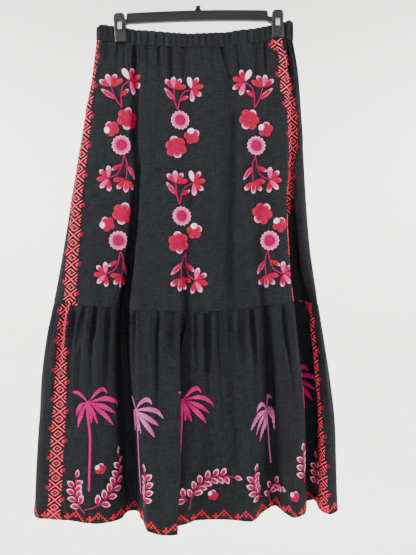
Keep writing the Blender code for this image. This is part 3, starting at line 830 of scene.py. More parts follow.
class ClothPanel(ClothGrid):
    """One cut panel, gathered, creased and hemmed."""

    # Low waves of worn linen: height, length across, length down (slanted by its sign), phase.
    WAVES = (
        (0.55, 88.0, 900.0, 0.3), (0.42, 57.0, -620.0, 1.9), (0.30, 36.0, 410.0, 4.1),
        (0.22, 23.0, -300.0, 0.7), (0.26, 130.0, 170.0, 2.6), (0.16, 47.0, 95.0, 5.2),
        (0.10, 15.0, 160.0, 3.3), (0.08, 31.0, -44.0, 1.1))
    # Rows close together below the top seam, and above the hem's edge.
    TOP_ROWS = (-3.0, 0.0, 1.5, 3.5, 6.5, 11.0)
    LOW_ROWS = (-16.0, -12.6, -12.0, -11.4, -8.0, -4.0, -1.6, -0.5, 0.0)

    def __init__(self, cut: PanelCut) -> None:
        """Lay the panel through the fold lines and press its gathers and creases into it.

        Args:
            cut: the panel's cut.
        """
        self.cut = cut
        rows = self.row_places()
        self.rows = rows
        ends = np.array((cut.top_drop, cut.top_drop + cut.length))
        self.counts = FoldLoop(ends).step_counts(cut.step)
        loop = FoldLoop(cut.top_drop + np.clip(rows, 0.0, cut.length))
        flat = np.array([
            loop.section(row, self.counts, cut.first, cut.last, cut.fine)
            for row in range(len(rows))])
        waist = FoldLoop(np.zeros(1)).section(0, self.counts, cut.first, cut.last, cut.fine)
        seam_z = waist_height(waist[:, 0])[0]
        z = seam_z[None, :] - cut.top_drop - rows[:, None]
        columns = np.arange(flat.shape[1]) / cut.fine
        normals = self.level_normals(flat)
        facing = np.abs(normals[:, :, 1]) ** 2
        gathered = flat + normals * (facing * self.gathers(columns))[:, :, None]
        normals = self.level_normals(gathered)
        points = np.dstack((gathered, z))
        across = self.arc_length(points)
        relief = self.wrinkles(columns) + self.pressed_creases(points)
        ends = np.minimum(across, across[:, -1:] - across)
        relief = relief * smooth(ends / 9.0) - 0.9 * (1.0 - smooth(ends / 2.2))
        relief = relief + self.edge_relief()[:, None]
        points[:, :, :2] += normals * relief[:, :, None]
        names = [line.name for line in FRONT_LINES]
        for tuck in cut.tucks:
            column = cut.fine * sum(self.counts[cut.first:names.index(tuck.line)])
            off = (across - across[:, column:column + 1]) / tuck.width
            inside = (smooth((tuck.z_top - z) / cut.tuck_fade)
                      * smooth((z - tuck.z_low) / cut.tuck_fade))
            points[:, :, 0] += tuck.lean * inside * np.exp(-off ** 2)
        super().__init__(rows, cut.top_drop, seam_z, points, 1.0 if cut.first == 0 else -1.0)

    def row_places(self) -> np.ndarray:
        """Rows down the panel: close together at its seams and its hem.

        Returns:
            Their distances below the panel's top, in mm.
        """
        cut = self.cut
        body = np.arange(16.0, cut.length - 18.0, cut.row_step)
        return np.concatenate((self.TOP_ROWS, body, cut.length + np.array(self.LOW_ROWS)))

    @staticmethod
    def level_normals(points: np.ndarray) -> np.ndarray:
        """Level unit normals of rows whose outside is on their right."""
        ahead = np.gradient(points[:, :, :2], axis=1)
        return unit(np.dstack((ahead[:, :, 1], -ahead[:, :, 0])))

    def gathers(self, columns: np.ndarray) -> np.ndarray:
        """Height of the gathers below the panel's top seam, in mm.

        Args:
            columns: the panel's columns, counted in steps.

        Returns:
            The height at every point.
        """
        cut = self.cut
        rows = np.maximum(self.rows, 0.0)[:, None]
        number = columns / cut.per_gather
        strength = 0.68 + 0.32 * np.sin(2.4 * number)
        own_reach = cut.reach * (0.45 + 0.55 * np.sin(1.7 * number + 0.6) ** 2)
        swell = 0.45 + 0.55 * smooth(rows / GATHER_SWELL)
        fade = 1.0 - smooth(rows / own_reach)
        pleat = 2.0 * np.abs(np.cos(np.pi * number)) - 1.27
        main = strength * swell * fade * pleat
        small_fade = 1.0 - smooth(rows / (0.5 * own_reach))
        swing = 2.2 * number + 0.45 * np.sin(0.9 * number) + 0.3 * np.sin(2.3 * number)
        small = small_fade * (1.5 * np.abs(np.cos(np.pi * swing)) - 0.95)
        return cut.gather * main + cut.fine_gather * small

    def wrinkles(self, columns: np.ndarray) -> np.ndarray:
        """Low soft waves of worn linen, long down the cloth, in mm.

        Args:
            columns: the panel's columns, counted in steps.

        Returns:
            The height at every point.
        """
        s = (columns * self.cut.step)[None, :]
        d = (self.rows + self.cut.top_drop)[:, None]
        total = np.zeros((len(self.rows), len(columns)))
        for height, over, down, phase in self.WAVES:
            total += height * np.sin(2.0 * np.pi * (s / over + d / down) + phase)
        return total

    def pressed_creases(self, points: np.ndarray) -> np.ndarray:
        """Depth of the named creases at every point, in mm.

        Args:
            points: the panel's points, in mm.

        Returns:
            The depth at every point.
        """
        total = np.zeros(points.shape[:2])
        px, py = to_pixels(points)
        for crease in self.cut.creases:
            start = np.array((crease.x_top, crease.y_top))
            ahead = np.array((crease.x_low, crease.y_low)) - start
            t = ((px - start[0]) * ahead[0] + (py - start[1]) * ahead[1]) / (ahead @ ahead)
            gap = np.hypot(
                px - start[0] - ahead[0] * np.clip(t, 0, 1),
                py - start[1] - ahead[1] * np.clip(t, 0, 1)) * MM_PER_PIXEL
            taper = smooth((t + 0.25) / 0.4) * smooth((1.3 - t) / 0.5)
            depth = crease.depth * taper
            gap = gap / crease.width
            total -= self.cut.crease_gain * depth * np.exp(-gap ** 2)
            total += self.cut.lip_share * depth * np.exp(-(gap - 1.7) ** 2)
        return total

    def edge_relief(self) -> np.ndarray:
        """The rolled seam at the top and the turned hem at the bottom.

        Returns:
            The relief of each row, in mm.
        """
        cut = self.cut
        rows = self.rows
        relief = -1.3 * (1.0 - smooth((rows + 0.5) / 4.0)) - 1.2 * (rows < -1.0)
        from_hem = cut.length - rows
        if cut.hem:
            relief = relief + 0.45 * (from_hem < HEM_DEPTH - 0.3)
            relief = relief - 0.35 * (np.abs(from_hem - HEM_DEPTH) < 0.3)
            relief = relief - 0.5 * (from_hem < 0.2)
        else:
            relief = relief - 0.9 * (1.0 - smooth(from_hem / 2.2))
        return relief

    def build(self, linen: bpy.types.Material) -> bpy.types.Object:
        """Make the panel's mesh, with its thickness turned inwards.

        Args:
            linen: the cloth's material.

        Returns:
            The finished object.
        """
        cut = self.cut
        uv = np.dstack((self.across, np.broadcast_to(self.rows[:, None], self.across.shape)))
        quads = grid_quads(*self.points.shape[:2])
        item = mesh_object(cut.name + "_cloth", self.points, quads, uv, "cloth_mm")
        wall = item.modifiers.new("cloth_thickness", "SOLIDIFY")
        wall.thickness = CLOTH_THICKNESS * MM
        wall.offset = -1.0
        apply_modifiers(item)
        return keep(item, linen, cut.name)


def grid_quads(rows: int, columns: int, start: int = 0, closed: bool = False) -> np.ndarray:
    """Four-sided faces of a grid of points.

    Args:
        rows: its rows.
        columns: its columns.
        start: number of its first point.
        closed: True where the last row joins the first.

    Returns:
        The four point numbers of each face.
    """
    ids = start + np.arange(rows * columns).reshape(rows, columns)
    if closed:
        ids = np.vstack((ids, ids[:1]))
    return np.stack((ids[:-1, :-1], ids[1:, :-1], ids[1:, 1:], ids[:-1, 1:]), axis=2).reshape(-1, 4)


def mesh_object(
        name: str, points: np.ndarray, quads: np.ndarray, uv: np.ndarray,
        uv_name: str) -> bpy.types.Object:
    """Make an object of a mesh.

    Args:
        name: its name.
        points: its points, in mm, in any grid.
        quads: its faces.
        uv: surface coordinates of its points, in mm.
        uv_name: the name of their UV map.

    Returns:
        The new object, linked to the scene.
    """
    mesh = bpy.data.meshes.new(name)
    mesh.from_pydata((points.reshape(-1, 3) * MM).tolist(), [], quads.tolist())
    corners = np.zeros(len(mesh.loops), dtype=np.int32)
    mesh.loops.foreach_get("vertex_index", corners)
    mesh.uv_layers.new(name=uv_name).data.foreach_set(
        "uv", uv.reshape(-1, 2)[corners].astype(np.float32).ravel())
    item = bpy.data.objects.new(name, mesh)
    bpy.context.scene.collection.objects.link(item)
    return item


def keep(
        item: bpy.types.Object, material: bpy.types.Material,
        node: str = "") -> bpy.types.Object:
    """Finish a piece of the skirt and report it.

    Args:
        item: the piece.
        material: its material.
        node: the solid that it replaces, if it replaces one.

    Returns:
        The piece.
    """
    item.data.shade_smooth()
    item.data.materials.append(material)
    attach(item, "root")
    if node:
        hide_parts(node)
    log.info("%s: %d faces", item.name, len(item.data.polygons))
    return item


def apply_modifiers(item: bpy.types.Object) -> None:
    """Apply every modifier of an object, in order, with that object alone selected.

    Args:
        item: the object.
    """
    bpy.ops.object.select_all(action="DESELECT")
    item.select_set(True)
    bpy.context.view_layer.objects.active = item
    for modifier in list(item.modifiers):
        bpy.ops.object.modifier_apply(modifier=modifier.name)


@dataclass
class Waistband:
    """Half of the waistband, between two fold lines: a linen casing puckered over its elastic."""

    name: str
    first: int
    last: int
    step: float = 6.4
    fine: int = 4
    pucker: float = 12.6
    pucker_height: float = 2.1
    ripple_height: float = 0.8
    clip_half_width: float = 9.0
    usual_height: float = 28.0

    # The casing in section: out from its face in mm, and up as a share of its height.
    PROFILE = (
        (0.0, 0.0), (0.30, 0.05), (0.52, 0.16), (0.60, 0.34), (0.60, 0.55), (0.52, 0.74),
        (0.36, 0.87), (0.05, 0.955), (-0.55, 1.0), (-1.3, 1.012), (-2.05, 1.0), (-2.5, 0.95),
        (-2.6, 0.8), (-2.6, 0.5), (-2.6, 0.2), (-2.6, 0.0), (-1.6, -0.03), (-0.7, -0.03),
    )

    def puckers(self, s: np.ndarray, x: np.ndarray) -> np.ndarray:
        """Height of the vertical puckers along the band, in mm, low under the clips.

        Args:
            s: distances along the band, in mm.
            x: places across, in mm.

        Returns:
            The height at each place.
        """
        beat = np.pi * s / self.pucker + 0.8 * np.sin(s / 31.0) + 0.5 * np.sin(s / 13.0)
        main = self.pucker_height * (2.0 * np.abs(np.cos(beat)) - 1.3)
        wave = main + self.ripple_height * np.cos(4.1 * beat + 0.7)
        clear = np.min([np.abs(x - tip) for tip in CLIP_TIPS], axis=0)
        return wave * smooth(clear / self.clip_half_width - 1.0)

    def build(self, casing: bpy.types.Material) -> bpy.types.Object:
        """Make the band's mesh.

        Args:
            casing: the casing's material.

        Returns:
            The finished object.
        """
        loop = FoldLoop(np.zeros(1))
        counts = loop.step_counts(self.step)
        points = loop.section(0, counts, self.first, self.last, self.fine)
        ahead = np.gradient(points, axis=0)
        normals = unit(np.column_stack((ahead[:, 1], -ahead[:, 0])))
        s = np.concatenate(([0.0], np.cumsum(np.linalg.norm(np.diff(points, axis=0), axis=1))))
        wave = self.puckers(s, points[:, 0])
        seam_z, height = waist_height(points[:, 0])
        ends = smooth(np.minimum(s, s[-1] - s) / 3.0)
        rings = []
        uv = []
        along = 0.0
        for number, (out, part) in enumerate(self.PROFILE):
            swell = math.sin(math.pi * min(max(part, 0.14), 0.86)) if out > -0.3 else 0.25
            ring = points + normals * (out + wave * swell * ends)[:, None]
            lift = 0.5 * wave * max(part - 0.6, 0.0)
            rings.append(np.column_stack((ring, seam_z + height * part + lift)))
            uv.append(np.column_stack((s, np.full(len(s), along))))
            if number + 1 < len(self.PROFILE):
                after = self.PROFILE[number + 1]
                along += math.hypot(after[0] - out, (after[1] - part) * self.usual_height)
        quads = grid_quads(len(rings), len(s), closed=True)
        item = mesh_object(
            self.name + "_cloth", np.array(rings)[::-1], quads, np.array(uv)[::-1], "cloth_mm")
        work = bmesh.new()
        work.from_mesh(item.data)
        bmesh.ops.holes_fill(work, edges=work.edges)
        bmesh.ops.triangulate(work, faces=[face for face in work.faces if len(face.verts) > 4])
        bmesh.ops.recalc_face_normals(work, faces=work.faces)
        work.to_mesh(item.data)
        work.free()
        return keep(item, casing, self.name)


# ---- Embroidery -------------------------------------------------------------------------------


class Tone(Enum):
    """Where a petal or leaf is red, pink and white."""

    RED = "r"
    RED_TIPPED = "t"
    RED_CORE = "c"
    PINK = "p"
    WHITE = "w"
    WHITE_EDGED = "e"

    def shade(self, t: np.ndarray, v: np.ndarray) -> np.ndarray:
        """Blend of the thread colours: 0 is red, 0.5 pink and 1 white.

        Args:
            t: place along the petal, from 0 at its base to 1 at its tip.
            v: place across it, from -1 to 1.

        Returns:
            The shade at each place.
        """
        tip = smooth((t - 0.7 + 0.12 * np.abs(v)) / 0.26)
        if self is Tone.RED:
            return 0.10 * tip
        if self is Tone.RED_TIPPED:
            return 0.92 * tip
        if self is Tone.RED_CORE:
            return np.maximum(0.6 * smooth((np.abs(v) - 0.74 + 0.3 * t) / 0.24), 0.85 * tip)
        if self is Tone.PINK:
            return 0.46 + 0.44 * tip
        if self is Tone.WHITE_EDGED:
            edge = smooth((np.abs(v) - 0.72 + 0.4 * t) / 0.26)
            return np.maximum(edge, smooth((t - 0.6) / 0.2)) * (0.7 + 0.3 * np.abs(v))
        return 0.62 + 0.38 * smooth(t / 0.5)


class PetalShape(Enum):
    """Outline of a leaf or petal."""

    POINTED = "pointed"
    ROUND = "round"

    def half_width(self, t: np.ndarray) -> np.ndarray:
        """Half of the width along the petal, as a share of its greatest.

        Args:
            t: places along it, from 0 at its base to 1 at its tip.

        Returns:
            The share at each place.
        """
        if self is PetalShape.ROUND:
            return np.sin(np.pi * np.clip(t, 0, 1) ** 1.5) ** 0.6
        return np.sin(np.pi * np.clip(t, 0, 1) ** 0.92) ** 0.95


RIM_DEPTH = 0.30
T_STEPS = np.array((0.0, 0.045, 0.15, 0.29, 0.44, 0.58, 0.70, 0.82, 0.93, 1.0))
V_STEPS = np.array((-1.0, -0.84, -0.45, 0.0, 0.45, 0.84, 1.0))


@dataclass
class StitchWork:
    """Embroidery on one stretch of cloth in one kind of thread: it gathers pads into one mesh.

    with_grain is True where it follows the cloth's own columns, and False where it is upright.
    Each method takes the spot on the cloth where its drawing's origin lies, and sizes in mm.
    """

    name: str
    cloth: ClothGrid
    slot: str
    with_grain: bool = False
    pads: list[tuple[np.ndarray, ...]] = field(default_factory=list)
    count: int = 0

    def pad(
            self, spot: Spot, flat: np.ndarray, height: np.ndarray, uv: np.ndarray,
            shade: np.ndarray) -> None:
        """Add one pad of stitches.

        Args:
            spot: the drawing's origin.
            flat: grid of points in the drawing.
            height: height of each point above the cloth.
            uv: distance across the stitches, then along them.
            shade: blend of the thread colours at each point.
        """
        rows, columns = flat.shape[:2]
        placed = self.cloth.place(spot, flat.reshape(-1, 2), height.ravel(), self.with_grain)
        quads = grid_quads(rows, columns, self.count)
        down = flat[1:, :-1] - flat[:-1, :-1]
        over = flat[:-1, 1:] - flat[:-1, :-1]
        if (down[..., 0] * over[..., 1] - down[..., 1] * over[..., 0]).sum() > 0.0:
            quads = quads[:, ::-1]
        shades = np.broadcast_to(shade, (rows, columns)).ravel()
        self.pads.append((placed, quads, uv.reshape(-1, 2), shades))
        self.count += rows * columns

    def petal(
            self, spot: Spot, base: Pair, tip: Pair,
            width: float, shape: PetalShape, tone: Tone, bend: float = 0.0,
            rise: float = 0.95) -> None:
        """Add a petal or leaf in slanted satin stitch.

        Args:
            spot: the drawing's origin.
            base: its base in the drawing.
            tip: its tip in the drawing.
            width: its greatest width.
            shape: its outline.
            tone: its colouring.
            bend: how far its middle swings to one side.
            rise: height of its middle.
        """
        base = np.array(base, dtype=float)
        ahead = np.array(tip, dtype=float) - base
        length = float(np.hypot(*ahead))
        ahead = ahead / length
        side = np.array((-ahead[1], ahead[0]))
        t = T_STEPS[:, None]
        v = V_STEPS[None, :]
        half = width / 2.0 * shape.half_width(t)
        aside = half * v + bend * 4.0 * t * (1.0 - t)
        flat = base + ahead * (length * t + 0.0 * v)[..., None] + side * aside[..., None]
        dome = np.sqrt(np.clip(1.0 - v ** 2, 0.0, 1.0)) * np.clip(half / (0.35 * width), 0.0, 1.0)
        height = -RIM_DEPTH + (rise + RIM_DEPTH) * dome - 0.12 * np.exp(-(v / 0.2) ** 2) * dome
        uv = np.dstack((length * t + 0.55 * half * np.abs(v), half * v + 0.0 * t))
        self.pad(spot, flat, height, uv, tone.shade(t + 0.0 * v, v + 0.0 * t))

    def line(
            self, spot: Spot, path: list[Pair], width: float,
            shade: float = 0.0, rise: float = 0.8, taper: float = 0.0,
            step: float = 3.0) -> None:
        """Add a stem, trunk or bar along a path.

        Args:
            spot: the drawing's origin.
            path: its points in the drawing, which it passes in a smooth curve.
            width: its width.
            shade: blend of the thread colours.
            rise: height of its middle.
            taper: share of the width lost by its end.
            step: distance between its cross rows.
        """
        knots = np.array(path, dtype=float)
        t = np.concatenate(([0.0], np.cumsum(np.linalg.norm(np.diff(knots, axis=0), axis=1))))
        number = max(3, int(round(t[-1] / step)) + 1)
        places = np.linspace(0.0, t[-1], number)
        centre = np.column_stack([monotone_curve(t, knots[:, i], places) for i in (0, 1)])
        ahead = unit(np.gradient(centre, axis=0))
        side = np.column_stack((-ahead[:, 1], ahead[:, 0]))
        v = np.array((-1.0, -0.6, 0.6, 1.0))
        half = width / 2.0 * (1.0 - taper * places / t[-1])
        half[[0, -1]] *= 0.75
        flat = centre[:, None, :] + side[:, None, :] * (half[:, None] * v)[..., None]
        height = np.broadcast_to(np.where(np.abs(v) > 0.9, -RIM_DEPTH, rise), flat.shape[:2]).copy()
        height[[0, -1]] = np.minimum(height[[0, -1]], 0.3)
        uv = np.dstack((places[:, None] + 0.5 * half[:, None] * v, half[:, None] * v))
        self.pad(spot, flat, height, uv, np.full(flat.shape[:2], shade))

    def ring(
            self, spot: Spot, inner: float, outer: float, shade: float, scallops: int = 0,
            around: int = 30, rise: float = 0.9) -> None:
        """Add a disc or a ring in radial satin stitch, round the drawing's origin.

        Args:
            spot: the drawing's origin.
            inner: inner radius, 0 for a disc.
            outer: outer radius.
            shade: blend of the thread colours.
            scallops: number of scallops round its edge.
            around: number of points round it.
            rise: height of its middle.
        """
        angle = np.linspace(0.0, 2.0 * np.pi, around + 1)[:, None]
        f = np.array((0.0, 0.18, 0.5, 0.82, 1.0))[None, :]
        edge = outer * (1.0 + 0.07 * np.cos(scallops * angle)) if scallops else outer + 0.0 * angle
        radius = inner + (edge - inner) * f
        flat = np.dstack((radius * np.cos(angle), radius * np.sin(angle)))
        inner_rim = -RIM_DEPTH if inner > 0.0 else rise + 0.1
        profile = np.array((inner_rim, rise - 0.1, rise + 0.05, rise - 0.15, -RIM_DEPTH))
        height = np.broadcast_to(profile, flat.shape[:2])
        uv = np.dstack((angle * (outer * 0.8) + 0.0 * f, radius))
        self.pad(spot, flat, height, uv, shade + 0.22 * smooth((f - 0.55) / 0.4) + 0.0 * angle)

    def build(self, thread: bpy.types.Material) -> bpy.types.Object:
        """Make the mesh of every pad added so far.

        Args:
            thread: the thread's material.

        Returns:
            The finished object.
        """
        points, quads, uv, shades = (np.concatenate(part) for part in zip(*self.pads))
        item = mesh_object(self.name, points, quads, uv, "stitch_mm")
        item.data.attributes.new("shade", "FLOAT", "POINT").data.foreach_set(
            "value", shades.astype(np.float32))
        work = bmesh.new()
        work.from_mesh(item.data)
        bmesh.ops.remove_doubles(work, verts=work.verts, dist=0.02 * MM)
        work.to_mesh(item.data)
        work.free()
        return keep(item, thread)


@dataclass(frozen=True)
class Drawing:
    """A motif's own frame: units of one photo pixel, leaning, scaled and perhaps mirrored."""

    lean: float = 0.0
    scale: float = 1.0
    mirror: bool = False

    def at(self, x: float, y: float) -> Pair:
        """Turn a point of the drawing to mm.

        Args:
            x: distance to the right, in pixels.
            y: distance down, in pixels.

        Returns:
            The point in mm on the cloth.
        """
        x = -x if self.mirror else x
        lean = -self.lean if self.mirror else self.lean
        c = math.cos(math.radians(lean))
        s = math.sin(math.radians(lean))
        k = MM_PER_PIXEL * self.scale
        return ((x * c - y * s) * k, (x * s + y * c) * k)


class Spray(NamedTuple):
    """One stem of a sprig, the open bud at its end and its leaf, in pixels from the stem's foot.

    The bud's petals fan from an angle clockwise from up, a step apart, both in degrees.
    """

    stem: tuple[Pair, ...]
    first: float
    step: float
    tones: tuple[Tone, ...]
    leaf_tip: Pair
    leaf_tone: Tone


UPRIGHT_SPRIG = (
    Spray(((0, 0), (-3, -9), (-4, -21)), -42.0, 38.0,
          (Tone.RED_TIPPED, Tone.PINK, Tone.RED_TIPPED, Tone.RED), (-14, -23), Tone.RED_CORE),
    Spray(((0, 0), (2, -10), (6, -18), (14, -22)), -14.0, 47.0,
          (Tone.WHITE, Tone.RED_TIPPED, Tone.RED, Tone.RED_TIPPED, Tone.PINK),
          (11, -15), Tone.RED_TIPPED),
)
DROOPING_SPRIG = (
    Spray(((0, 0), (-2, 10), (-6, 19), (-15, 24)), -2.0, -45.0,
          (Tone.PINK, Tone.RED_TIPPED, Tone.RED, Tone.PINK, Tone.RED_TIPPED),
          (-13, 16), Tone.RED_TIPPED),
    Spray(((0, 0), (3, 10), (3, 18), (2, 25)), -92.0, -44.0,
          (Tone.RED, Tone.RED_TIPPED, Tone.RED_CORE, Tone.RED_TIPPED), (13, 25), Tone.RED_CORE),
)


class Sprig(NamedTuple):
    """A group of the upper flowers: where it starts, in pixels, and how it is drawn."""

    crown: bool
    x: float
    y: float
    drawing: Drawing


class Bloom(Enum):
    """A round flower."""

    SIX = "six petals"
    FIVE = "five petals"
    RING = "scalloped ring"


class BloomMark(NamedTuple):
    """One round flower: its kind, its centre and radius in pixels, and its turn in degrees."""

    kind: Bloom
    x: float
    y: float
    radius: float
    turn: float


@dataclass
class FlowerPainter:
    """Sews flowers, in red, pink and white thread and in deep pink thread.

    Petals and leaves of a sprig are in pixels.
    """

    leaves: StitchWork
    stems: StitchWork
    petal: float = 13.0
    petal_width: float = 5.7
    sprig_leaf_width: float = 4.8
    fuller: float = 1.08

    SIX_TONES = (Tone.RED_CORE, Tone.RED, Tone.RED, Tone.RED_TIPPED, Tone.RED, Tone.RED)
    FIVE_TONES = (Tone.RED_CORE, Tone.RED, Tone.RED, Tone.RED, Tone.WHITE)

    def sprig(self, spot: Spot, crown: bool, drawing: Drawing) -> None:
        """Sew an upright or a drooping sprig: its stems, its leaves and its two open buds.

        Args:
            spot: where its stems meet.
            crown: True for an upright sprig.
            drawing: its lean, scale and hand.
        """
        to_mm = MM_PER_PIXEL * drawing.scale
        for spray in UPRIGHT_SPRIG if crown else DROOPING_SPRIG:
            self.stems.line(spot, [drawing.at(*point) for point in spray.stem], 2.7)
            self.leaves.petal(
                spot, drawing.at(*spray.stem[1]), drawing.at(*spray.leaf_tip),
                self.sprig_leaf_width * to_mm, PetalShape.POINTED, spray.leaf_tone, rise=0.8)
            x, y = spray.stem[-1]
            for number, tone in enumerate(spray.tones):
                angle = math.radians(spray.first + spray.step * number)
                tip = (x + self.petal * math.sin(angle), y - self.petal * math.cos(angle))
                self.leaves.petal(
                    spot, drawing.at(x, y), drawing.at(*tip), self.petal_width * to_mm,
                    PetalShape.ROUND, tone, rise=0.85 + 0.08 * number)

    def bloom(self, spot: Spot, kind: Bloom, radius: float, turn: float) -> None:
        """Sew a round flower.

        Args:
            spot: its centre on the cloth.
            kind: its kind.
            radius: its radius, in mm.
            turn: how far it is turned, in degrees.
        """
        radius *= self.fuller
        if kind is Bloom.RING:
            self.leaves.ring(spot, radius * 0.5, radius, 0.52, scallops=15, around=60)
            self.stems.ring(spot, 0.0, radius * 0.72, 0.0, scallops=11, around=44, rise=1.1)
            self.leaves.ring(spot, 0.0, radius * 0.24, 0.0, around=16, rise=1.3)
            return
        tones = self.SIX_TONES if kind is Bloom.SIX else self.FIVE_TONES
        share = 0.84 if kind is Bloom.SIX else 0.96
        for k, tone in enumerate(tones):
            angle = math.radians(turn + 360.0 / len(tones) * k)
            tip = (radius * math.sin(angle), -radius * math.cos(angle))
            base = (-0.06 * tip[0], -0.06 * tip[1])
            self.leaves.petal(
                spot, base, tip, radius * share, PetalShape.ROUND, tone,
                rise=0.85 + 0.14 * (k % 2))
        self.stems.ring(spot, 0.0, radius * 0.34, 0.0, scallops=7, around=28, rise=1.35)


LEFT_LEAN = Drawing(-17.0, 1.1)
RIGHT_LEAN = Drawing(-12.0, 1.06, True)
UPRIGHT = Drawing()
MIRRORED = Drawing(0.0, 1.0, True)

FRONT_SPRIGS = tuple(Sprig(*row) for row in (
    (True, 122.0, 107.5, LEFT_LEAN), (True, 177.8, 110.0, UPRIGHT),
    (True, 254.5, 108.0, RIGHT_LEAN), (True, 179.8, 204.5, UPRIGHT),
    (False, 124.0, 154.5, UPRIGHT), (False, 255.5, 156.0, MIRRORED),
    (False, 120.5, 251.0, Drawing(0.0, 0.97)),
    (False, 186.0, 253.0, Drawing(-12.0, 1.05, True)),
    (False, 268.0, 250.0, MIRRORED),
))

FRONT_BLOOMS = tuple(BloomMark(*row) for row in (
    (Bloom.FIVE, 111.5, 128.5, 7.4, -35.0), (Bloom.SIX, 128.0, 118.5, 10.6, 8.0),
    (Bloom.RING, 121.5, 145.0, 9.0, 0.0), (Bloom.RING, 180.3, 120.0, 8.6, 0.0),
    (Bloom.FIVE, 192.0, 136.0, 7.6, 60.0), (Bloom.SIX, 176.0, 147.0, 10.6, 165.0),
    (Bloom.FIVE, 265.5, 129.5, 7.2, 10.0), (Bloom.SIX, 249.0, 119.5, 10.2, -150.0),
    (Bloom.RING, 256.5, 145.5, 8.8, 0.0), (Bloom.FIVE, 107.0, 224.0, 7.2, -30.0),
    (Bloom.SIX, 123.5, 213.5, 10.6, 14.0), (Bloom.RING, 118.5, 240.5, 8.8, 0.0),
    (Bloom.RING, 181.8, 216.0, 8.8, 0.0), (Bloom.FIVE, 194.5, 231.0, 7.6, 66.0),
    (Bloom.SIX, 179.0, 242.5, 10.6, 170.0), (Bloom.FIVE, 280.0, 224.5, 7.4, 28.0),
    (Bloom.SIX, 262.0, 213.5, 10.6, -140.0), (Bloom.RING, 269.5, 240.5, 9.0, 0.0),
))


class Frond(NamedTuple):
    """One palm frond: its middle and its tip from the crown, and its width, in mm."""

    mid_x: float
    mid_y: float
    x: float
    y: float
    width: float


class Palm(NamedTuple):
    """A palm tree: its crown in pixels, its trunk from the crown in mm, and its thread.

    behind is the least depth of the cloth that it is sewn on, where a fold lies in front of it.
    """

    x: float
    y: float
    trunk: tuple[Pair, ...]
    hot: bool
    fronds: tuple[Frond, ...]
    behind: float = -99.0


SPREAD_FRONDS = (
    Frond(12, 18, 19, 42, 10), Frond(3, 22, 6, 40, 8), Frond(-16, 19, -22, 50, 11),
    Frond(-18, 5, -25, 27, 11), Frond(31, 19, 49, 46, 12), Frond(31, 5, 55, 24, 12),
    Frond(40, -10, 65, 10, 13), Frond(25, -28, 40, -17, 12), Frond(-16, -19, -32, -21, 10),
)
DROOPING_FRONDS = (
    Frond(-5, 19, -6, 38, 9), Frond(-12.5, 27, -23, 61, 10), Frond(-18, 14, -31, 46, 10),
    Frond(-24, 3, -43, 34, 13), Frond(11, 3, 20, 21, 10), Frond(18, 0, 24, 46, 13),
    Frond(-17, -19, -27, 0, 12), Frond(8, -28, 23, -21, 12),
)

FRONT_PALMS = (
    Palm(88.0, 403.0, ((0, 0), (-2, 4), (4, 72), (1, 174)), True, SPREAD_FRONDS),
    Palm(133.5, 411.0, ((0, 0), (1, 60), (3, 172)), False, SPREAD_FRONDS),
    Palm(182.0, 401.0, ((0, 0), (0, 10), (-3, 70), (-8, 150)), True, SPREAD_FRONDS, -8.0),
    Palm(267.6, 410.8, ((0, 0), (1, 10), (8, 58), (15, 116)), False, DROOPING_FRONDS),
    Palm(304.0, 381.0, ((0, 0), (3, 50), (9, 156)), True, SPREAD_FRONDS, 36.0),
)


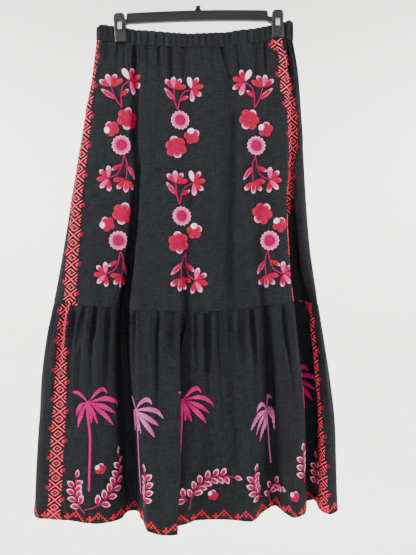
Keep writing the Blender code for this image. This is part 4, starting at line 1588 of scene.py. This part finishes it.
@dataclass
class PalmPainter:
    """Sews the palms of the lower tier, in hot pink and in light pink thread."""

    hot: StitchWork
    light: StitchWork
    hot_trunk: float = 5.8
    light_trunk: float = 4.2
    knot: float = 4.4

    ALONG = np.linspace(0.0, 1.0, 19)

    def frond(self, work: StitchWork, spot: Spot, frond: Frond, seed: int) -> None:
        """Sew one arched frond, smooth on the outside of its arch and feathered within.

        Args:
            work: the embroidery that it goes into.
            spot: the palm's crown on the cloth.
            frond: the frond's measures.
            seed: a number that varies its feathers.
        """
        t = self.ALONG
        odd = np.arange(len(t)) % 2 == 1
        tip = np.array((frond.x, frond.y), dtype=float)
        mid = np.array((frond.mid_x, frond.mid_y), dtype=float)
        control = 2.0 * mid - tip / 2.0
        spine = (2.0 * t * (1.0 - t))[:, None] * control + (t ** 2)[:, None] * tip
        ahead = unit(np.gradient(spine, axis=0))
        inward = np.column_stack((-ahead[:, 1], ahead[:, 0]))
        middle = len(t) // 2
        if inward[middle] @ (tip / 2.0 - mid) < 0.0:
            inward = -inward
        wide = frond.width * np.sin(np.pi * np.clip(t, 0.03, 0.985) ** 1.1) ** 0.8
        lower = wide * np.where(odd, 1.0, 0.8) * (0.92 + 0.08 * math.sin(seed * 1.7))
        sweep = ahead * (np.where(odd, 0.22, 0.0) * frond.width)[:, None]
        v = np.array((-0.22, -0.14, 0.1, 0.45, 0.78, 1.0))
        flat = (
            spine[:, None, :] + inward[:, None, :] * (lower[:, None] * v * 0.8)[..., None]
            + sweep[:, None, :] * (np.maximum(v, 0.0) ** 2)[:, None])
        profile = np.array((-RIM_DEPTH, 0.7, 1.05, 0.85, 0.6, -RIM_DEPTH))
        height = np.broadcast_to(profile, flat.shape[:2]).copy()
        height[0] = height[-1] = -RIM_DEPTH
        length = np.hypot(*tip)
        uv = np.dstack((length * t[:, None] - 0.6 * lower[:, None] * v, lower[:, None] * v))
        shade = 0.2 + 0.2 * np.sin(7.0 * t + seed)[:, None] * np.ones_like(v) + 0.25 * (v > 0.6)
        work.pad(spot, flat, height, uv, np.clip(shade, 0.0, 1.0))

    def palm(self, spot: Spot, palm: Palm) -> None:
        """Sew one palm: its trunk, its fronds and the knot where they meet.

        Args:
            spot: its crown on the cloth.
            palm: the palm.
        """
        work, width = (
            (self.hot, self.hot_trunk) if palm.hot else (self.light, self.light_trunk))
        work.line(spot, list(palm.trunk), width, 0.25, rise=0.9, taper=0.15, step=5.0)
        for number, frond in enumerate(palm.fronds):
            self.frond(work, spot, frond, number + int(palm.x))
        work.ring(spot, 0.0, self.knot, 0.1, around=14, rise=1.3)


class Branch(NamedTuple):
    """A laurel branch: an even arc from its foot, in pixels, and its pairs of leaves.

    It starts at an angle clockwise from up and turns on by its bend, both in degrees.  behind
    is as for a palm.
    """

    x: float
    y: float
    length: float
    lean: float
    bend: float
    pairs: int
    behind: float = -99.0

    def path(self) -> np.ndarray:
        """Seven points along the arc, in pixels.

        Returns:
            The points, one a row.
        """
        angle = np.radians(self.lean + self.bend * (np.arange(6) + 0.5) / 6.0)
        steps = np.column_stack((np.sin(angle), -np.cos(angle))) * self.length / 6.0
        return np.vstack(((0.0, 0.0), np.cumsum(steps, axis=0))) + (self.x, self.y)

    def middle(self) -> Pair:
        """The middle of the arc, in pixels, which is where it is laid."""
        x, y = self.path()[3]
        return float(x), float(y)


FRONT_BRANCHES = (
    Branch(86, 513, 39, -50, 70, 4), Branch(84, 508, 71, 80, -90, 6),
    Branch(138, 510, 39, 35, -50, 4), Branch(187, 510, 67, 5, 100, 6),
    Branch(188, 502, 11, -35, -50, 1, -8.0), Branch(270, 502, 39, -75, 100, 4),
    Branch(270, 502, 33, -30, 140, 3), Branch(306, 484, 34, -10, 10, 3),
    Branch(312, 494, 35, 10, -20, 3, 30.0),
)

SMALL_BLOOMS = ((100.5, 469.0), (213.0, 495.0), (295.0, 497.0))


@dataclass
class LaurelPainter:
    """Sews the laurel branches above the hem, with pale-edged leaves on hot pink stems."""

    leaves: StitchWork
    stems: StitchWork
    stem_width: float = 2.1
    leaf_length: float = 21.5
    leaf_width: float = 11.8
    end_length: float = 18.0
    end_width: float = 9.6
    beside_stem: float = 2.0

    def leaf(
            self, spot: Spot, foot: np.ndarray, reach: np.ndarray, width: float,
            bend: float) -> None:
        """Sew one leaf from its foot, as far as its reach, in mm."""
        self.leaves.petal(spot, tuple(foot), tuple(foot + reach), width, PetalShape.POINTED,
                          Tone.WHITE_EDGED, bend)

    def branch(self, spot: Spot, branch: Branch) -> None:
        """Sew one branch: a stem with leaves on both sides and one at its end.

        Args:
            spot: where the middle point of its path lies on the cloth.
            branch: the branch.
        """
        pixels = branch.path()
        knots = (pixels - pixels[len(pixels) // 2]) * MM_PER_PIXEL
        self.stems.line(spot, [tuple(p) for p in knots], self.stem_width, taper=0.3)
        t = np.concatenate(([0.0], np.cumsum(np.linalg.norm(np.diff(knots, axis=0), axis=1))))
        last = unit(knots[-1] - knots[-2])
        for k in range(branch.pairs):
            for hand, later in ((-1.0, 0.0), (1.0, 0.4)):
                at = t[-1] * (0.2 + 0.72 * (k + later) / branch.pairs)
                foot, beyond = (
                    np.array([np.interp(place, t, knots[:, i]) for i in (0, 1)])
                    for place in (at, min(at + 4.0, t[-1])))
                ahead = unit(beyond - foot) if at + 1.0 < t[-1] else last
                side = np.array((-ahead[1], ahead[0])) * hand
                size = self.leaf_length - 3.0 * k / branch.pairs
                out = self.beside_stem * side
                reach = ahead * size * 0.6 + side * size * 0.86 - out
                self.leaf(spot, foot + out, reach, self.leaf_width, -1.2 * hand)
        self.leaf(spot, knots[-1], last * self.end_length, self.end_width, 0.0)


@dataclass
class SideBand:
    """A band of diamonds between crossed bars, worked down the skirt beside a side seam.

    centre_line gives heights, falling, and the distance of the band's middle from the seam.
    """

    name: str
    left: bool
    centre_line: tuple[Pair, ...]
    width: float = 27.0
    repeat: float = 29.0
    slope: float = 0.776
    highest: float = -148.0
    shortest: float = 2.5
    repeats: int = 34

    # Each bar's height above the crossing, and its thickness.  The real bars are 1 mm apart.
    # They are drawn fewer and thicker, so that they show.
    BARS = ((7.9, 2.6), (0.1, 2.9), (-6.9, 2.3))

    def bars(self, work: StitchWork, spot: Spot) -> None:
        """Sew the slanted bars of one repeat, in its four quarters.

        Args:
            work: the embroidery that they go into.
            spot: the middle of the repeat.
        """
        for hand, up in ((-1.0, -1.0), (-1.0, 1.0), (1.0, -1.0), (1.0, 1.0)):
            for offset, thick in self.BARS:
                start = max(0.0, -offset / self.slope)
                reach = min(self.width / 2.0, (self.repeat / 2.0 - offset) / self.slope)
                if reach - start < self.shortest:
                    continue
                path = [(hand * x, -up * (self.slope * x + offset))
                        for x in np.linspace(start, reach, 5)]
                work.line(spot, path, thick * 0.8, 0.3, rise=0.7, step=4.2)

    def sew(self, cloth: ClothGrid, work: StitchWork, tufts: StitchWork, top: float,
            low: float) -> None:
        """Sew the band down one stretch of cloth.

        Args:
            cloth: the cloth that is worked, with the seam inside it.
            work: coral embroidery.
            tufts: red embroidery, of three short bars beside every repeat.
            top: height of the cloth's upper edge, in mm.
            low: height of its lower edge, in mm.
        """
        heights, distances = np.array(self.centre_line)[::-1].T
        half = self.repeat / 2.0
        places = [self.highest - self.repeat * k for k in range(self.repeats)]
        for number, z in enumerate(z for z in places if low - half < z < top + half):
            spot = cloth.beside_seam(float(np.interp(z, heights, distances)), z)
            self.bars(work, spot)
            work.line(spot, [(-1.3, half), (1.3, half)], 2.4, 0.6, step=1.2)
            hand, down = ((-1.0, 4.0), (1.0, -2.0))[number % 2]
            start = self.width / 2.0 - 1.0
            for k in (-1.0, 0.0, 1.0):
                foot = (hand * start, down + 1.4 * k)
                end = (hand * (start + 7.6 - 0.8 * abs(k)), down + 3.4 * k)
                tufts.line(spot, [foot, end], 2.6, 0.0, rise=0.9, step=3.0)


@dataclass
class HemBorder:
    """A zigzag of small crosses with a diamond in each bay, just above the hem.

    The real crosses are 2 mm wide.  They are drawn larger, so that they show.
    """

    period: float = 45.6
    cell: float = 5.7
    above_hem: float = 7.5

    # Place of each cross of a period: cells along it, of 8, and cells up.
    CELLS = (
        (0.2, 0.1), (1.0, -0.6), (1.0, 0.15), (1.0, 0.9), (1.8, 0.1), (2.55, 0.75), (3.25, 1.4),
        (3.95, 2.1), (4.65, 1.4), (5.35, 0.75), (6.05, 0.1), (3.95, 0.6), (6.6, -0.6),
    )

    def sew(self, cloth: ClothGrid, work: StitchWork) -> None:
        """Sew the border along the whole hem of one panel.

        Args:
            cloth: the panel.
            work: the embroidery that it goes into.
        """
        across = cloth.across[-1]
        number = int(across[-1] // self.period)
        columns = np.arange(len(across))
        reach = self.cell * 0.42
        bottom = cloth.top_drop + cloth.rows[-1]
        for k in range(number):
            for over, up in self.CELLS:
                along = (k + (over + 0.5) / 8.0) * across[-1] / number
                column = float(np.interp(along, across, columns))
                seam = float(np.interp(column, columns, cloth.seam_z))
                spot = Spot(column, seam - bottom + self.above_hem + up * self.cell)
                for turn, rise in ((1.0, 0.6), (-1.0, 1.0)):
                    path = [(-reach, -reach * turn), (reach, reach * turn)]
                    work.line(spot, path, 1.25, 0.2, rise=rise, step=9.0)


# ---- Hanger -----------------------------------------------------------------------------------


class HangerDressing:
    """Finishes of the hanger's solids."""

    FINISHES = (
        (MouldedPlastic("black_moulded_polystyrene", "#0B0C0E", "#111215", 0.3),
         ("hanger_bar", "hanger_collar")),
        (MouldedPlastic("grey_moulded_polystyrene", "#0F1012", "#17181B", 0.42),
         ("clip_left_front_jaw", "clip_left_back_jaw", "clip_right_front_jaw",
          "clip_right_back_jaw")),
        (DrawnSteel("bright_drawn_steel_wire", "#C9CACC", 0.2), ("hanger_hook",)),
        (DrawnSteel("bright_spring_steel_strip", "#D4D5D6", 0.26),
         ("clip_left_spring", "clip_right_spring")),
    )

    def dress(self) -> None:
        """Give each solid of the hanger its finish."""
        for finish, nodes in self.FINISHES:
            material = finish.build()
            for node in nodes:
                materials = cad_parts[node].data.materials
                materials.clear()
                materials.append(material)
                log.info("%s: %s", node, material.name)


# ---- Skirt ------------------------------------------------------------------------------------

SIDE_RIGHT = len(FRONT_LINES) - 1
WHOLE = len(FRONT_LINES) + len(BACK_LINES)

UPPER = dict(
    top_drop=0.0, length=UPPER_LENGTH, step=9.0, row_step=6.2, per_gather=3, gather=3.6,
    fine_gather=1.7, reach=130.0, flat=(0.74, 0.53), area=0.32)
TIER = dict(
    top_drop=UPPER_LENGTH, length=TIER_LENGTH, row_step=6.0, gather=9.0, fine_gather=2.6,
    reach=330.0, hem=True)
PANELS = (
    PanelCut("upper_front", 0, SIDE_RIGHT, fine=4, creases=UPPER_CREASES, tucks=UPPER_TUCKS,
             **UPPER),
    PanelCut("upper_back", SIDE_RIGHT, WHOLE, fine=3, **UPPER),
    PanelCut("tier_front", 0, SIDE_RIGHT, step=8.2, fine=3, per_gather=3, flat=(1.10, 0.44),
             area=0.44, creases=TIER_CREASES, tucks=TIER_TUCKS, **TIER),
    PanelCut("tier_back", SIDE_RIGHT, WHOLE, step=11.5, fine=4, per_gather=2, flat=(1.00, 0.44),
             area=0.40, **TIER),
)

THREADS = {
    "red": SatinThread("red_rayon_satin_stitch", "#8C0322", "#BE3078", "#EAB8CC"),
    "deep": SatinThread("deep_pink_rayon_satin_stitch", "#860340", "#961050", "#C45C8C"),
    "hot": SatinThread("hot_pink_rayon_satin_stitch", "#960152", "#AA0A64", "#CC3C84"),
    "light": SatinThread("light_pink_rayon_satin_stitch", "#983474", "#BA5C94", "#D088B2"),
    "coral": SatinThread("coral_cotton_cross_stitch", "#EC304A", "#F8485E", "#FF7C8C"),
    "border": SatinThread("coral_red_cotton_cross_stitch", "#CC1428", "#DC3040", "#F05C64"),
}


@dataclass
class EmbroideredSkirt:
    """The whole skirt: cloth, waistband and embroidery."""

    band_flat: Pair = (0.42, 0.028)
    seam_columns: int = 70
    back_tops: Pair = (-275.0, -468.0)
    back_low: float = -1040.0
    started: list[tuple[StitchWork, str, str]] = field(default_factory=list)

    # Heights between which the side bands are sewn on each tier.
    TIERS = (("upper", -150.0, -662.0), ("tier", -665.0, -1090.0))

    def __post_init__(self) -> None:
        """Make the skirt's materials and lay its panels."""
        self.linen = LinenFinish().build()
        self.casing = LinenFinish("black_linen_casing", "#131417", "#1B1C20").build()
        self.threads = {name: finish.build() for name, finish in THREADS.items()}
        self.panels = {cut.name: ClothPanel(cut) for cut in PANELS}

    def work(self, name: str, panel: str, slot: str, thread: str,
             joined: ClothGrid | None = None) -> StitchWork:
        """Start a piece of embroidery.

        Args:
            name: its name.
            panel: the panel that it is kept with, and sewn on where nothing is joined.
            slot: name of its thread slot, after thread_, which the piece keeps.
            thread: its thread.
            joined: the joined cloth that it is sewn on, if any.

        Returns:
            The empty piece.
        """
        with_grain = joined is not None or thread == "border"
        work = StitchWork(name, joined or self.panels[panel], "thread_" + slot, with_grain)
        self.started.append((work, panel, thread))
        return work

    def flower_painter(self, side: str) -> FlowerPainter:
        """Start the flowers of one upper panel.

        Args:
            side: front or back.

        Returns:
            The painter of its flowers.
        """
        return FlowerPainter(
            self.work("flowers_" + side, "upper_" + side, "red", "red"),
            self.work("flower_stems_" + side, "upper_" + side, "pink", "deep"))

    def sew_upper_front(self) -> None:
        """Flower sprigs and round flowers of the upper front."""
        cloth = self.panels["upper_front"]
        painter = self.flower_painter("front")
        for sprig in FRONT_SPRIGS:
            painter.sprig(cloth.spot_at_pixel(sprig.x, sprig.y), sprig.crown, sprig.drawing)
        for bloom in FRONT_BLOOMS:
            spot = cloth.spot_at_pixel(bloom.x, bloom.y)
            painter.bloom(spot, bloom.kind, bloom.radius * MM_PER_PIXEL, bloom.turn)

    def sew_upper_back(self) -> None:
        """The same flowers on the upper back, in three columns."""
        cloth = self.panels["upper_back"]
        painter = self.flower_painter("back")
        for x, drawing in BACK_COLUMNS:
            side = -1.0 if drawing.mirror else 1.0
            for top in self.back_tops:
                painter.sprig(cloth.spot_at(x, top), True, drawing)
                for kind, over, down, radius, turn in (
                        (Bloom.FIVE, -21.0, 40.0, 14.4, -35.0), (Bloom.SIX, 10.0, 22.0, 20.6, 12.0),
                        (Bloom.RING, 0.0, 73.0, 17.4, 0.0)):
                    painter.bloom(cloth.spot_at(x + over * side, top - down), kind, radius, turn)
                painter.sprig(cloth.spot_at(x, top - 91.0), False, drawing)

    def sew_tier(self, side: str, palms: list[tuple[Spot, Palm]],
                 branches: list[tuple[Spot, Branch]], blooms: list[Spot]) -> None:
        """Palms, laurels, small flowers and the hem border of one half of the tier.

        Args:
            side: front or back.
            palms: each palm with its place on the cloth.
            branches: each branch with its place on the cloth.
            blooms: the places of the small flowers.
        """
        panel = "tier_" + side
        hot = self.work("palms_hot_pink_" + side, panel, "pink", "hot")
        light = self.work("palms_light_pink_" + side, panel, "pale", "light")
        leaves = self.work("laurel_leaves_" + side, panel, "red", "red")
        for spot, palm in palms:
            PalmPainter(hot, light).palm(spot, palm)
        for spot, branch in branches:
            LaurelPainter(leaves, hot).branch(spot, branch)
        for spot in blooms:
            FlowerPainter(leaves, hot).bloom(spot, Bloom.FIVE, 10.5, 10.0)
        border = self.work("hem_border_" + side, panel, "coral", "border")
        HemBorder().sew(self.panels[panel], border)

    def sew_tiers(self) -> None:
        """The tier's two halves: the front as photographed, and the back in the same manner."""
        front = self.panels["tier_front"]
        back = self.panels["tier_back"]
        self.sew_tier(
            "front",
            [(front.spot_at_pixel(palm.x, palm.y, palm.behind), palm) for palm in FRONT_PALMS],
            [(front.spot_at_pixel(*branch.middle(), branch.behind), branch)
             for branch in FRONT_BRANCHES],
            [front.spot_at_pixel(x, y) for x, y in SMALL_BLOOMS])
        self.sew_tier(
            "back",
            [(back.spot_at(x, -850.0 + 12.0 * (k % 2)), FRONT_PALMS[3 * (k % 2)])
             for k, x in enumerate(BACK_PALM_PLACES)],
            [(back.spot_at(x + over, self.back_low), branch) for x in BACK_PALM_PLACES
             for over, branch in zip((22.0, -32.0), FRONT_BRANCHES)],
            [back.spot_at(x - 60.0, self.back_low) for x in BACK_PALM_PLACES])

    def sew_bands(self) -> None:
        """The two bands of diamonds, down both tiers, each beside a side seam."""
        for tier, top, low in self.TIERS:
            panel = tier + "_front"
            front, back = self.panels[panel], self.panels[tier + "_back"]
            for band in SIDE_BANDS:
                pair = (back, front) if band.left else (front, back)
                cloth = pair[0].joined(pair[1], self.seam_columns)
                coral = self.work(band.name + "_" + tier, panel, "coral", "coral", cloth)
                red = self.work(band.name + "_tufts_" + tier, panel, "red", "red", cloth)
                band.sew(cloth, coral, red, top, low)

    def build(self) -> None:
        """Build the embroidery, the waistbands and the cloth."""
        self.sew_upper_front()
        self.sew_upper_back()
        self.sew_tiers()
        self.sew_bands()
        sewn: dict[str, list[bpy.types.Object]] = {name: [] for name in self.panels}
        for work, panel, thread in self.started:
            sewn[panel].append(work.build(self.threads[thread]))
        for side, first, last in (("front", 0, SIDE_RIGHT), ("back", SIDE_RIGHT, WHOLE)):
            band = Waistband("waistband_" + side, first, last).build(self.casing)
        for name, panel in self.panels.items():
            tier, side = name.split("_")
            panel.build(self.linen)


BACK_COLUMNS = ((118.0, UPRIGHT), (-18.0, UPRIGHT), (-150.0, MIRRORED))
BACK_PALM_PLACES = (190.0, 70.0, -50.0, -180.0)

SIDE_BANDS = (
    SideBand("diamond_band_left", True, (
        (-150.0, 0.0), (-200.0, -1.0), (-247.0, 5.5), (-306.0, 12.5), (-360.0, 18.5),
        (-411.0, 24.5), (-450.0, 28.0), (-500.0, 35.5), (-560.0, 43.5), (-640.0, 56.0),
        (-680.0, 64.0), (-750.0, 68.5), (-850.0, 70.5), (-950.0, 70.5), (-1100.0, 73.5))),
    SideBand("diamond_band_right", False, (
        (-150.0, -51.0), (-200.0, -44.0), (-247.0, -36.0), (-306.0, -33.0), (-360.0, -37.0),
        (-411.0, -45.0), (-450.0, -58.0), (-500.0, -82.0), (-560.0, -99.0), (-655.0, -104.0),
        (-668.0, -57.0), (-850.0, -59.0), (-950.0, -54.0), (-1000.0, -48.0), (-1100.0, -49.0))),
)


# ---- Stage ------------------------------------------------------------------------------------


class Softbox(NamedTuple):
    """A square soft light: its place and what it faces in metres, its side and its watts."""

    name: str
    place: tuple[float, float, float]
    target: tuple[float, float, float]
    size: float
    power: float


@dataclass
class Studio:
    """A pale floor that sweeps up all round, soft lights, and the photograph's camera."""

    floor_z: float = -1.9
    radius: float = 3.2
    corner: float = 0.9
    wall_top: float = 2.4
    sky: float = 0.7

    LIGHTS = (
        Softbox("key_softbox", (-1.95, -1.05, 0.7), (0.0, 0.0, -0.6), 1.2, 135.0),
        Softbox("fill_softbox", (2.1, -0.5, 0.1), (0.0, 0.0, -0.6), 1.4, 95.0),
        Softbox("back_softbox", (0.6, 1.9, 0.9), (0.0, 0.0, -0.6), 2.2, 46.0),
        Softbox("wall_wash_left", (-1.7, 0.9, 0.6), (-1.0, 3.2, -0.6), 1.6, 112.0),
        Softbox("wall_wash_right", (1.7, 0.9, 0.6), (1.0, 3.2, -0.6), 1.6, 112.0),
    )

    def build(self) -> None:
        """Build the stage, the lights and the camera."""
        self.sweep()
        for box in self.LIGHTS:
            lamp = bpy.data.lights.new(box.name, "AREA")
            lamp.shape = "SQUARE"
            lamp.size = box.size
            lamp.energy = box.power
            facing = Vector(box.target) - Vector(box.place)
            self.stand(box.name, lamp, box.place, facing.to_track_quat("-Z", "Y").to_euler())
        world = bpy.data.worlds.new("pale_sky")
        world.use_nodes = True
        background = world.node_tree.nodes["Background"]
        background.inputs["Color"].default_value = linear("#EEEFF2")
        background.inputs["Strength"].default_value = self.sky
        bpy.context.scene.world = world
        camera = bpy.data.cameras.new("photo_camera")
        camera.sensor_width = SENSOR_MM
        camera.lens = LENS_MM
        bpy.context.scene.camera = self.stand(
            "photo_camera", camera, CAMERA_PLACE * MM, (math.radians(90.0), 0.0, 0.0))

    @staticmethod
    def stand(name: str, data: bpy.types.ID, place: ArrayLike, turn: ArrayLike) -> bpy.types.Object:
        """Stand a light or the camera in the scene.

        Args:
            name: its name.
            data: the light or the camera.
            place: its place, in metres.
            turn: its turn, in radians.

        Returns:
            The new object.
        """
        item = bpy.data.objects.new(name, data)
        item.location = place
        item.rotation_euler = turn
        bpy.context.scene.collection.objects.link(item)
        return item

    def sweep(self) -> None:
        """The floor and the wall round it, as one round sheet with a swept corner."""
        bpy.ops.object.select_all(action="DESELECT")
        bpy.ops.mesh.primitive_circle_add(
            vertices=96, radius=self.radius, fill_type="NOTHING",
            location=(0.0, 0.0, self.wall_top))
        item = bpy.context.object
        item.name = "pale_sweep"
        bpy.ops.object.mode_set(mode="EDIT")
        bpy.ops.mesh.select_all(action="SELECT")
        bpy.ops.mesh.extrude_region_move(
            TRANSFORM_OT_translate={"value": (0.0, 0.0, self.floor_z - self.wall_top)})
        bpy.ops.mesh.edge_face_add()
        bpy.ops.mesh.bevel(offset=self.corner, segments=10, affect="EDGES")
        bpy.ops.mesh.select_all(action="SELECT")
        bpy.ops.mesh.normals_make_consistent(inside=True)
        bpy.ops.object.mode_set(mode="OBJECT")
        bpy.ops.object.transform_apply(location=True, rotation=True, scale=True)
        bpy.ops.object.shade_smooth()
        item.data.materials.append(MattPaint("pale_matt_paint", "#E9E9E6").build())


def write_sizes() -> None:
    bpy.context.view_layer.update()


def main() -> None:
    """Build the hanger's finishes, the skirt and the studio."""
    HangerDressing().dress()
    EmbroideredSkirt().build()
    Studio().build()
    write_sizes()


if __name__ == "__main__":
    logging.basicConfig(level=logging.INFO, format="%(message)s")
    main()
